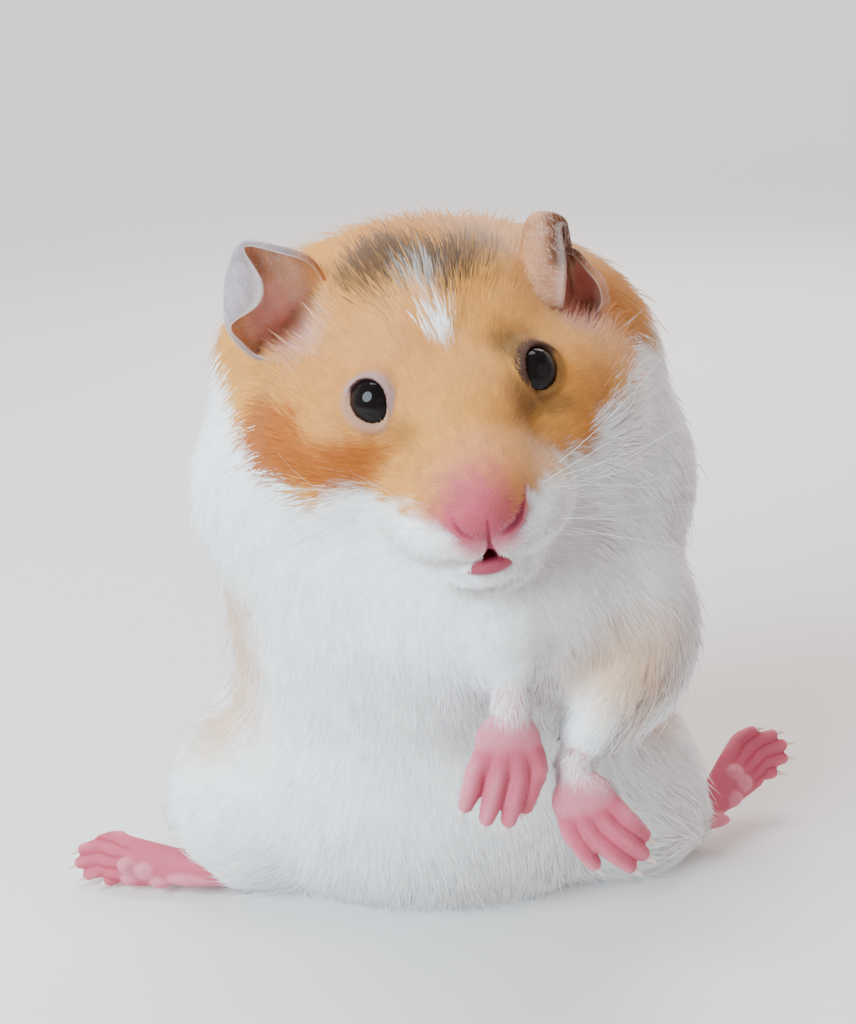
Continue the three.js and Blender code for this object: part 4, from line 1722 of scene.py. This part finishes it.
    def spindles(
        self, zone: Zone, line: Array, normals: Array, colour: Array, rng: np.random.Generator
    ) -> Tufts:
        """Wraps each middle line in a closed three-sided spindle.

        Args:
            zone: The kind of tuft.
            line: The root, middle and tip of each middle line.
            normals: The skin's normal at each of them.
            colour: The colour of each tuft.
            rng: The source of the widths and shades.

        Returns:
            The tufts.
        """
        count = len(line)
        ahead = unit(np.gradient(line, axis=1))
        across = unit(np.cross(ahead, normals))
        above = unit(np.cross(across, ahead))
        length = length_of(line[:, -1] - line[:, 0])
        width = zone.width * rng.uniform(*GROWTH.width, count)
        width = width * np.interp(length, [0.4, 1.5, 7], [0.6, 0.85, 1.1])
        turn = np.radians([90, 210, 330])[:, None]
        spread = np.cos(turn) * across[:, 1:2]
        spread = spread + GROWTH.flatness * np.sin(turn) * above[:, 1:2]
        middle = line[:, 1:2] + spread * (width / 2)[:, None, None]
        round_middle = unit(normals[:, 1:2] + 0.3 * spread)
        at_tip = unit(normals[:, 2:] + 0.25 * ahead[:, 2:])
        lock = lock_centres(line[:, 0], zone.lock, self.seed)
        lock_shade = scrambled(np.floor(lock * 3).astype(np.int64), 5)[:, 0] - 0.5
        shade = 1 + GROWTH.shade * rng.normal(size=count) + GROWTH.lock_shade * lock_shade
        # Darker at the root and lighter at the tip: partly the real darker undercoat, partly painted shade
        # deep in the coat and painted light on the tips.
        tint = np.interp(TUFT_ALONG, [0, 0.5, 1], [0.9, 0.98, 1.04])
        tones = colour[:, None] * shade[:, None, None] * tint[None, :, None]
        patch = BAKE_PATCH * np.stack([TUFT_AROUND, TUFT_ALONG], -1)
        return Tufts(
            corners=np.concatenate([line[:, :1], middle, line[:, 2:]], 1),
            normals=np.concatenate([normals[:, :1], round_middle, at_tip], 1),
            tones=np.clip(tones, 0, 1),
            unwrap=unwrapped(line[:, 0])[:, None] * UNWRAP_SHARE + patch[None],
        )

    def fuzz(self, zone: Zone, surfaces: Sequence[Surface], starts: Sequence[Point], tones: Field) -> Tufts:
        """Grows the fine short hair of the ears and paws straight from their surfaces.

        Args:
            zone: The kind of tuft.
            surfaces: The closed surfaces that it grows on.
            starts: For each of them, the point that its hair lies away from.
            tones: The function that gives its colour.

        Returns:
            The tufts.
        """
        rng = np.random.default_rng(self.seed + 50)
        roots, normals, flows = [], [], []
        for surface, start in zip(surfaces, starts):
            corners = surface.triangles()
            a, b, c = surface.vertices[corners].transpose(1, 0, 2)
            across = np.cross(b - a, c - a)
            area = length_of(across) * (0.35 + 2.6 * wrist_share(a))
            pick = rng.choice(len(corners), zone.tufts // len(surfaces), p=area / area.sum())
            u, v = np.sort(rng.random((2, len(pick), 1)), axis=0)
            point = a[pick] + (b - a)[pick] * u + (c - a)[pick] * (v - u)
            roots.append(point)
            normals.append(unit(across[pick]))
            flows.append(unit(point - np.array(start)))
        root, normal, flow = (np.vstack(x) for x in (roots, normals, flows))
        clear = self.form.skin(root) > -0.3
        for patch in EAR_PATCHES:
            clear &= patch.reach(root) > 0.8
        root, normal, flow = root[clear], normal[clear], flow[clear]
        flow = unit(flow + rng.normal(0, 0.22, flow.shape))
        flow = in_plane(flow, normal)
        length = zone.longest * rng.uniform(0.6, 1.1, (len(root), 1))
        length = length * (1 + 2.0 * wrist_share(root)[:, None])
        middle = root + length * (0.45 * flow + 0.12 * normal)
        line = np.stack([root, middle, root + length * (flow + 0.16 * normal)], 1)
        line[..., 2] = np.maximum(line[..., 2], 0.1)
        return self.spindles(zone, line, np.repeat(normal[:, None], 3, 1), tones(root), rng)

    def pieces(self, zone: Zone, tufts: Tufts) -> list[bpy.types.Object]:
        """Makes the zone's meshes, each of which takes one sector round the animal."""
        roots = tufts.corners[:, 0]
        order = np.argsort(np.arctan2(roots[:, 0], -roots[:, 1]))
        shares = np.array_split(order, zone.pieces)
        return [self.piece(f"{zone.name}_{n}", tufts, chosen) for n, chosen in enumerate(shares, 1)]

    def piece(self, name: str, tufts: Tufts, chosen: Array) -> bpy.types.Object:
        """Makes one piece of the coat with its normals, colours and bake map.

        Args:
            name: The piece's name.
            tufts: The tufts of its zone.
            chosen: The numbers of those that it holds.

        Returns:
            The new object.
        """
        first = np.arange(len(chosen))[:, None, None] * len(TUFT_ALONG)
        faces = (TUFT_FACES + first).reshape(-1, 3)
        mesh = Surface(tufts.corners[chosen].reshape(-1, 3), [faces]).to_mesh(name, self.place)
        Layer.VECTOR.write(mesh, "custom_normal", tufts.normals[chosen].reshape(-1, 3))
        Layer.COLOUR.write(mesh, "coat_tone", tufts.tones[chosen].reshape(-1, 3))
        corners = np.empty(len(mesh.loops), np.int32)
        mesh.loops.foreach_get("vertex_index", corners)
        unwrap = tufts.unwrap[chosen].reshape(-1, 2)[corners]
        mesh.uv_layers.new(name="OFBake").uv.foreach_set("vector", unwrap.astype(np.float32).ravel())
        obj = shown(name, mesh)
        obj.visible_shadow = False
        return obj


def unwrapped(points: Array) -> Array:
    """Gives the place of points on a map of the skin: the angles round and down from its middle."""
    hub = points - np.array(UNWRAP_CENTRE)
    azimuth = np.arctan2(hub[:, 0], -hub[:, 1]) / (2 * np.pi) + 0.5
    polar = np.arccos(np.clip(hub[:, 2] / length_of(hub), -1, 1)) / np.pi
    return np.stack([azimuth, polar], -1)


class Layer(Enum):
    """The kinds of value that a vertex carries: the attribute's type and the name of its value."""

    NUMBER = ("FLOAT", "value")
    VECTOR = ("FLOAT_VECTOR", "vector")
    COLOUR = ("FLOAT_COLOR", "color")

    def write(self, mesh: bpy.types.Mesh, name: str, values: Array) -> None:
        """Writes one value for each vertex, with full opacity for colours."""
        kind, key = self.value
        if self is Layer.COLOUR:
            values = np.concatenate([values, np.ones((len(values), 1))], 1)
        layer = mesh.attributes.new(name, kind, "POINT")
        layer.data.foreach_set(key, values.astype(np.float32).ravel())


def shown(name: str, mesh: bpy.types.Mesh) -> bpy.types.Object:
    """Puts a mesh into the scene as an object at the origin."""
    mesh.name = name
    obj = bpy.data.objects.new(name, mesh)
    bpy.context.scene.collection.objects.link(obj)
    return obj


# ---- eyes, claws and whiskers


def ball(centre: Array, radius: float, rows: int = 40, columns: int = 64) -> Surface:
    """Makes a sphere from rings."""
    polar = np.linspace(0.03, np.pi - 0.03, rows)[:, None]
    turn = np.linspace(0, 2 * np.pi, columns, endpoint=False)[None, :]
    x, y = np.sin(polar) * np.cos(turn), np.sin(polar) * np.sin(turn)
    return capped_net(centre + radius * np.stack([x, y, np.cos(polar) * np.ones_like(turn)], -1))


def claws_of(paw: Paw) -> Surface:
    """Makes a paw's claws: cones that carry on from the digits and bend with its curl."""
    claws = []
    for digit in paw.chains:
        line, radii = digit.nodes()
        ahead = unit(line[-1] - line[-2])
        s = np.linspace(0, 1, 9)[:, None]
        start = line[-1] + ahead * radii[-1] * 0.35
        bend = unit(np.array(paw.curl)) * 0.3 * paw.claw_length * s**2
        path = start + ahead * paw.claw_length * s + bend
        claws.append(tube(path, 0.46 * radii[-1] * (1 - s[:, 0] ** 1.6) + 0.05, 10))
    return joined(claws)


@dataclass(frozen=True)
class Whiskers:
    """The long whiskers of both pads.

    Attributes:
        rows: How many rows each pad has.
        columns: How many stand in a row.
        longest: The length of the hindmost, in millimetres.
        thick: Their radius at the root.
        seed: The seed of their bends.
    """

    rows: int = 4
    columns: int = 5
    longest: float = 31.0
    thick: float = 0.032
    seed: int = 31

    def surface(self, form: Form) -> Surface:
        """Builds all the whiskers, side by side and row by row."""
        rng = np.random.default_rng(self.seed)
        made = []
        for side in Side:
            for row in range(self.rows):
                for column in range(self.columns):
                    path = self.path(side, row, column / (self.columns - 1), rng)
                    s = np.linspace(0, 1, len(path))
                    made.append(tube(form.head.out(path), self.thick * (1 - 0.85 * s), 4))
        return joined(made)

    def path(self, side: Side, row: int, back: float, rng: np.random.Generator) -> Array:
        """Gives one whisker's middle line, root + length (s out + 0.5 s^2 droop), in the head's frame.

        Args:
            side: The side that it stands on.
            row: Its row, counted from the top.
            back: How far back it stands, from 0 to 1.
            rng: The source of its bends.

        Returns:
            The points of the line.
        """
        s = np.linspace(0, 1, 15)[:, None]
        root = np.array([side.value * (3.6 + 3.6 * back), -12.6 + 5.2 * back, -10.6 - 1.35 * row])
        out = np.array([side.value * (0.95 + 0.3 * back), 0.25 * back - 0.22, 0.42 - 0.26 * row])
        out = unit(out + rng.normal(0, 0.15, 3))
        droop = np.array([0, 0.55, 0.25 - 0.55 * rng.random()])
        length = self.longest * (0.42 + 0.58 * back) * rng.uniform(0.8, 1.05)
        bend = droop + 0.35 * rng.normal(size=3)
        return root + length * (s * out + 0.5 * s**2 * bend)


# ---- finishes


class Wire:
    """One socket of a shader, on which sums can be written as Python expressions."""

    def __init__(self, weave: Weave, socket: bpy.types.NodeSocket) -> None:
        """Keeps the socket and the node tree that it belongs to."""
        self.weave = weave
        self.socket = socket

    def _with(self, operation: str, first: Wire | float, second: Wire | float) -> Wire:
        """Adds a Math node for two values."""
        return self.weave.node("ShaderNodeMath", {"operation": operation}, {0: first, 1: second})

    def __add__(self, other: Wire | float) -> Wire:
        """Adds."""
        return self._with("ADD", self, other)

    def __mul__(self, other: Wire | float) -> Wire:
        """Multiplies."""
        return self._with("MULTIPLY", self, other)

    __radd__ = __add__
    __rmul__ = __mul__


class Weave:
    """A material under construction."""

    def __init__(self, name: str) -> None:
        """Starts a material with one Principled shader."""
        self.material = bpy.data.materials.new(name)
        self.material.use_nodes = True
        self.tree = self.material.node_tree
        self.shader = self.tree.nodes["Principled BSDF"]

    def node(self, kind: str, settings: dict, values: dict, output: int | str = 0) -> Wire:
        """Adds any node.

        Args:
            kind: The node's type.
            settings: Its properties, which are set first.
            values: What goes into its sockets, by index or name: a Wire, a number or a tuple.
            output: Which of its outputs is wanted.

        Returns:
            That output.
        """
        made = self.tree.nodes.new(kind)
        for key, value in settings.items():
            setattr(made, key, value)
        for key, value in values.items():
            self.feed(made.inputs[key], value)
        return Wire(self, made.outputs[output])

    def feed(self, socket: bpy.types.NodeSocket, value: Wire | float | tuple) -> None:
        """Links a wire to a socket, or sets the socket to a constant."""
        if isinstance(value, Wire):
            self.tree.links.new(value.socket, socket)
        else:
            socket.default_value = value

    def noise(self, scale: float) -> Wire:
        """Gives a noise of the given number of waves to the metre."""
        place = self.node("ShaderNodeTexCoord", {}, {}, "Object")
        values = {"Vector": place, "Scale": scale, "Detail": 3.0}
        return self.node("ShaderNodeTexNoise", {}, values)

    def painted(self, layer: str) -> Wire:
        """Reads a colour that each vertex carries."""
        return self.node("ShaderNodeAttribute", {"attribute_name": layer}, {}, "Color")

    def scaled(self, colour: Wire | Colour, factor: Wire | float) -> Wire:
        """Makes a colour lighter or darker by a factor."""
        return self.node("ShaderNodeVectorMath", {"operation": "SCALE"}, {0: colour, "Scale": factor})

    def bump(self, height: Wire, distance: float, strength: float) -> Wire:
        """Turns a height into a normal."""
        values = {"Height": height, "Distance": distance, "Strength": strength}
        return self.node("ShaderNodeBump", {}, values, "Normal")

    def finish(self, **inputs: Wire | float | tuple) -> bpy.types.Material:
        """Sets the shader's sockets, named with _ for a space, and gives the material."""
        for name, value in inputs.items():
            self.feed(self.shader.inputs[name.replace("_", " ")], value)
        return self.material


@dataclass(frozen=True)
class SkinFinish:
    """Soft living skin with fine creases, rosy where it is bare."""

    roughness: float = 0.56
    crease: float = 0.00012

    def material(self) -> bpy.types.Material:
        """Makes the material."""
        w = Weave("living_skin")
        grain = w.noise(2600.0) * 0.6 + w.noise(900.0) * 0.4
        colour = w.scaled(w.painted("skin_tone"), grain * 0.35 + 0.83)
        return w.finish(
            Base_Color=colour,
            Roughness=self.roughness + 0.15 * w.noise(1500.0),
            Normal=w.bump(grain, self.crease, 0.6),
            Subsurface_Weight=0.35,
            Subsurface_Radius=(1.0, 0.35, 0.22),
            Subsurface_Scale=0.0012,
            Specular_IOR_Level=0.2,
        )


@dataclass(frozen=True)
class CoatFinish:
    """Fine soft hair."""

    roughness: float = 0.62

    def material(self) -> bpy.types.Material:
        """Makes the material."""
        w = Weave("soft_fur")
        colour = w.scaled(w.painted("coat_tone"), w.noise(700.0) * 0.16 + 0.92)
        return w.finish(
            Base_Color=colour, Roughness=self.roughness, Specular_IOR_Level=0.22, Sheen_Weight=0.12
        )


@dataclass(frozen=True)
class EyeFinish:
    """A wet black eye."""

    colour: Colour = (0.006, 0.004, 0.004)

    def material(self) -> bpy.types.Material:
        """Makes the material."""
        w = Weave("wet_eye")
        brown = w.noise(500.0) * 0.5 + 0.75
        return w.finish(Base_Color=w.scaled(self.colour, brown), Roughness=0.04, Specular_IOR_Level=0.16)


@dataclass(frozen=True)
class HornFinish:
    """Pale clear horn, for claws and whiskers."""

    name: str
    colour: Colour
    roughness: float

    def material(self) -> bpy.types.Material:
        """Makes the material."""
        w = Weave(self.name)
        shade = w.scaled(self.colour, w.noise(1200.0) * 0.3 + 0.8)
        return w.finish(
            Base_Color=shade, Roughness=self.roughness, Subsurface_Weight=0.2, Subsurface_Scale=0.0008
        )


# ---- stage


def stood(name: str, data: bpy.types.ID, axes: Sequence[Array], at: Array) -> bpy.types.Object:
    """Puts a camera or lamp into the scene.

    Args:
        name: Its name.
        data: Its camera or light data.
        axes: Its right, its up and its back, as unit vectors.
        at: Where it stands, in metres.

    Returns:
        The new object.
    """
    obj = bpy.data.objects.new(name, data)
    matrix = np.eye(4)
    matrix[:3, :3] = np.stack(axes, -1)
    matrix[:3, 3] = at
    obj.matrix_world = Matrix(matrix.tolist())
    bpy.context.scene.collection.objects.link(obj)
    return obj


@dataclass(frozen=True)
class Studio:
    """The floor, the soft lights and the camera.

    Attributes:
        place: The carrier from the animal's millimetres into the frame.
        eye_point: Where the camera stands, in the animal's millimetres.
        down: How far it looks down, in degrees.
        roll: How far it is turned about its own axis, in degrees.
        lens: Its focal length, on a sensor of 36 mm.
    """

    place: Place
    eye_point: Point = (0.32, -184.08, 121.8)
    down: float = 20.0
    roll: float = 3.0
    lens: float = 50.0

    def camera(self) -> None:
        """Sets the camera up."""
        data = bpy.data.cameras.new("camera")
        data.lens = self.lens
        data.sensor_width = 36.0
        data.clip_start = 0.01
        down, roll = math.radians(self.down), math.radians(self.roll)
        ahead = np.array([0, math.cos(down), -math.sin(down)])
        right, up = np.array([1.0, 0, 0]), np.array([0, math.sin(down), math.cos(down)])
        turned_right = math.cos(roll) * right - math.sin(roll) * up
        turned_up = math.sin(roll) * right + math.cos(roll) * up
        at = self.place.metres(np.array(self.eye_point))
        bpy.context.scene.camera = stood("camera", data, (turned_right, turned_up, -ahead), at)

    def lamp(
        self, name: str, at: Point, size: float, power: float, colour: Colour, target: Point = (0, 0, 55)
    ) -> None:
        """Hangs one round soft lamp.

        Args:
            name: Its name.
            at: Where it hangs, in millimetres of the frame.
            size: Its breadth in metres.
            power: Its power in watts.
            colour: Its colour.
            target: What it looks at, at first the animal's chest.
        """
        data = bpy.data.lights.new(name, "AREA")
        data.shape = "DISK"
        data.size = size
        data.energy = power
        data.color = colour
        spot = np.array(at) / MM_PER_METRE
        back = unit(spot - np.array(target) / MM_PER_METRE)
        right = unit(np.cross(UP, back))
        stood(name, data, (right, np.cross(back, right), back), spot)

    def lights(self) -> None:
        """Lights the animal softly: cool from the upper left, warmer and weaker from the right."""
        self.lamp("key", (-360, -300, 380), 0.38, 7.5, (0.75, 0.92, 1.0))
        self.lamp("fill", (380, -260, 200), 0.40, 0.3, (1.0, 0.80, 0.74))
        self.lamp("back", (120, 380, 380), 0.35, 1.6, (1.0, 0.97, 0.94))
        self.lamp("wall", (0, 300, 1100), 0.8, 13.0, (1.0, 0.99, 0.98), (0, 1000, 350))
        world = bpy.data.worlds.new("room")
        world.use_nodes = True
        background = world.node_tree.nodes["Background"]
        background.inputs["Color"].default_value = (1.0, 0.86, 0.81, 1)
        background.inputs["Strength"].default_value = 0.33
        bpy.context.scene.world = world

    def floor(self) -> None:
        """Lays the plain pale floor: a round dish, flat for 0.6 m and then rising in an arc."""
        sides, flat, bend = 72, 0.6, 0.5
        arc = np.radians(np.linspace(0, 90, 24))
        reach = np.concatenate([[0.02, 0.2, 0.4], flat + bend * np.sin(arc), [flat + bend] * 2])
        rise = np.concatenate([np.zeros(3), bend * (1 - np.cos(arc)), [0.6, 0.75]])
        turn = np.linspace(0, 2 * np.pi, sides, endpoint=False)
        ring = np.stack([np.cos(turn), np.sin(turn), np.zeros(sides)], -1)
        grid = reach[:, None, None] * ring + rise[:, None, None] * UP
        grid = np.vstack([grid.reshape(-1, 3), [[0.0, 0.0, 0.0]]])
        quads = net_faces(len(reach), sides)
        k = np.arange(sides)
        middle = np.stack([np.full(sides, len(grid) - 1), k, (k + 1) % sides], -1)
        mesh = bpy.data.meshes.new("floor")
        mesh.from_pydata(grid.tolist(), [], middle.tolist() + quads[:, ::-1].tolist())
        mesh.polygons.foreach_set("use_smooth", np.ones(len(mesh.polygons), bool))
        obj = shown("floor", mesh)
        w = Weave("pale_floor")
        tone = w.scaled((0.78, 0.74, 0.73), w.noise(3.0) * 0.04 + 0.98)
        mesh.materials.append(w.finish(Base_Color=tone, Roughness=0.9))


# ---- the whole


PAIRED_NODES = ("ear", "foreleg", "forepaw", "thigh", "hind_foot")
FLESH_NODES = (
    *("trunk", "neck", "head", "lower_jaw", "nose", "tail"),
    *(f"{node}_{side.word}" for node in PAIRED_NODES for side in Side),
)
FUZZ_STEP = 0.5


def settle(obj: bpy.types.Object, material: bpy.types.Material, slot: str, *nodes: str) -> None:
    """Dresses a piece, lets it ride on the body, and hides the solids that it stands for."""
    obj.data.materials.clear()
    obj.data.materials.append(material)
    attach(obj, ROOT_BODY)
    if nodes:
        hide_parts(*nodes)
    LOG.info("%s: %d faces", obj.name, len(obj.data.polygons))


def placed(form: Form) -> Place:
    """Finds the animal's own origin in the frame from the middle between the two eye solids."""
    corners = [np.array(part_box(f"eye_{side.word}")) for side in Side]
    middle = np.mean([c.mean(0) for c in corners], axis=0) * MM_PER_METRE
    own = form.head.out(np.array([0, EYE.at[1], EYE.at[2]]))
    return Place(own - middle)


@dataclass(frozen=True)
class Hamster:
    """The dressed animal.

    Attributes:
        form: Its form.
        place: The carrier from its millimetres into the frame.
        markings: Where its colours lie.
    """

    form: Form
    place: Place
    markings: Markings

    def build(self) -> None:
        """Makes every piece of the animal."""
        skin = Skin(self.form, self.place)
        body = skin.body()
        LOG.info("body drawn")
        self.add_skin(skin.mesh(body))
        self.add_coat(body)
        self.add_eyes()
        self.add_horn()

    def add_skin(self, mesh: bpy.types.Mesh) -> None:
        """Colours the one skin, which stands for every node of flesh."""
        mesh.polygons.foreach_set("use_smooth", np.ones(len(mesh.polygons), bool))
        points = np.empty(len(mesh.vertices) * 3, np.float32)
        mesh.vertices.foreach_get("co", points)
        own = points.reshape(-1, 3).astype(float) * MM_PER_METRE + self.place.origin
        way = np.zeros(len(own), np.float32)
        mesh.attributes["ear_way"].data.foreach_get("value", way)
        on_ear = way[:, None] > 0.005
        tone = np.where(on_ear, self.markings.ear(own, way), self.markings.skin(own))
        Layer.COLOUR.write(mesh, "skin_tone", np.clip(tone, 0, 1))
        settle(shown("skin", mesh), SkinFinish().material(), "skin_pink", *FLESH_NODES)

    def add_coat(self, body: Surface) -> None:
        """Grows the hair of the face and body, and the down of ears and forepaws."""
        coat = Coat(self.form, self.place, self.markings, Lie(self.form), body)
        grown = [(zone, coat.grown(zone)) for zone in (FACE_ZONE, BODY_ZONE)]
        shells = [ear.surface() for ear in EARS]
        canals = [ear.canal for ear in EARS]
        grown.append((EAR_ZONE, coat.fuzz(EAR_ZONE, shells, canals, ear_hair)))
        hands = [level_surface(p.distance, *p.box(), FUZZ_STEP) for p in FOREPAWS]
        wrists = [paw.chains[0].path[0] for paw in FOREPAWS]
        grown.append((PAW_ZONE, coat.fuzz(PAW_ZONE, hands, wrists, paw_hair)))
        fur = CoatFinish().material()
        for zone, tufts in grown:
            for piece in coat.pieces(zone, tufts):
                settle(piece, fur, "coat_white")

    def add_eyes(self) -> None:
        """Makes the two eyeballs."""
        wet = EyeFinish().material()
        for side in Side:
            eyeball = ball(self.form.head.out(EYE.centre(side)), EYE.radius)
            obj = shown(f"eyeball_{side.word}", eyeball.to_mesh("ball", self.place))
            settle(obj, wet, "eye_gloss", f"eye_{side.word}")

    def add_horn(self) -> None:
        """Makes the claws and the whiskers."""
        horn = HornFinish("pale_claw", (0.80, 0.64, 0.56), 0.32).material()
        for paw in PAWS:
            obj = shown("claws_" + paw.node, claws_of(paw).to_mesh("claws", self.place))
            settle(obj, horn, "skin_pink")
        hair = HornFinish("white_whisker", (0.85, 0.84, 0.82), 0.4).material()
        whiskers = Whiskers().surface(self.form).to_mesh("whiskers", self.place)
        settle(shown("whiskers", whiskers), hair, "coat_white")


def main() -> None:
    """Builds the animal and its stage."""
    logging.basicConfig(level=logging.INFO, format="%(name)s %(message)s")
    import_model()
    form = Form()
    place = placed(form)
    Hamster(form, place, Markings(form)).build()
    studio = Studio(place)
    studio.floor()
    studio.lights()
    studio.camera()


if __name__ == "__main__":
    main()
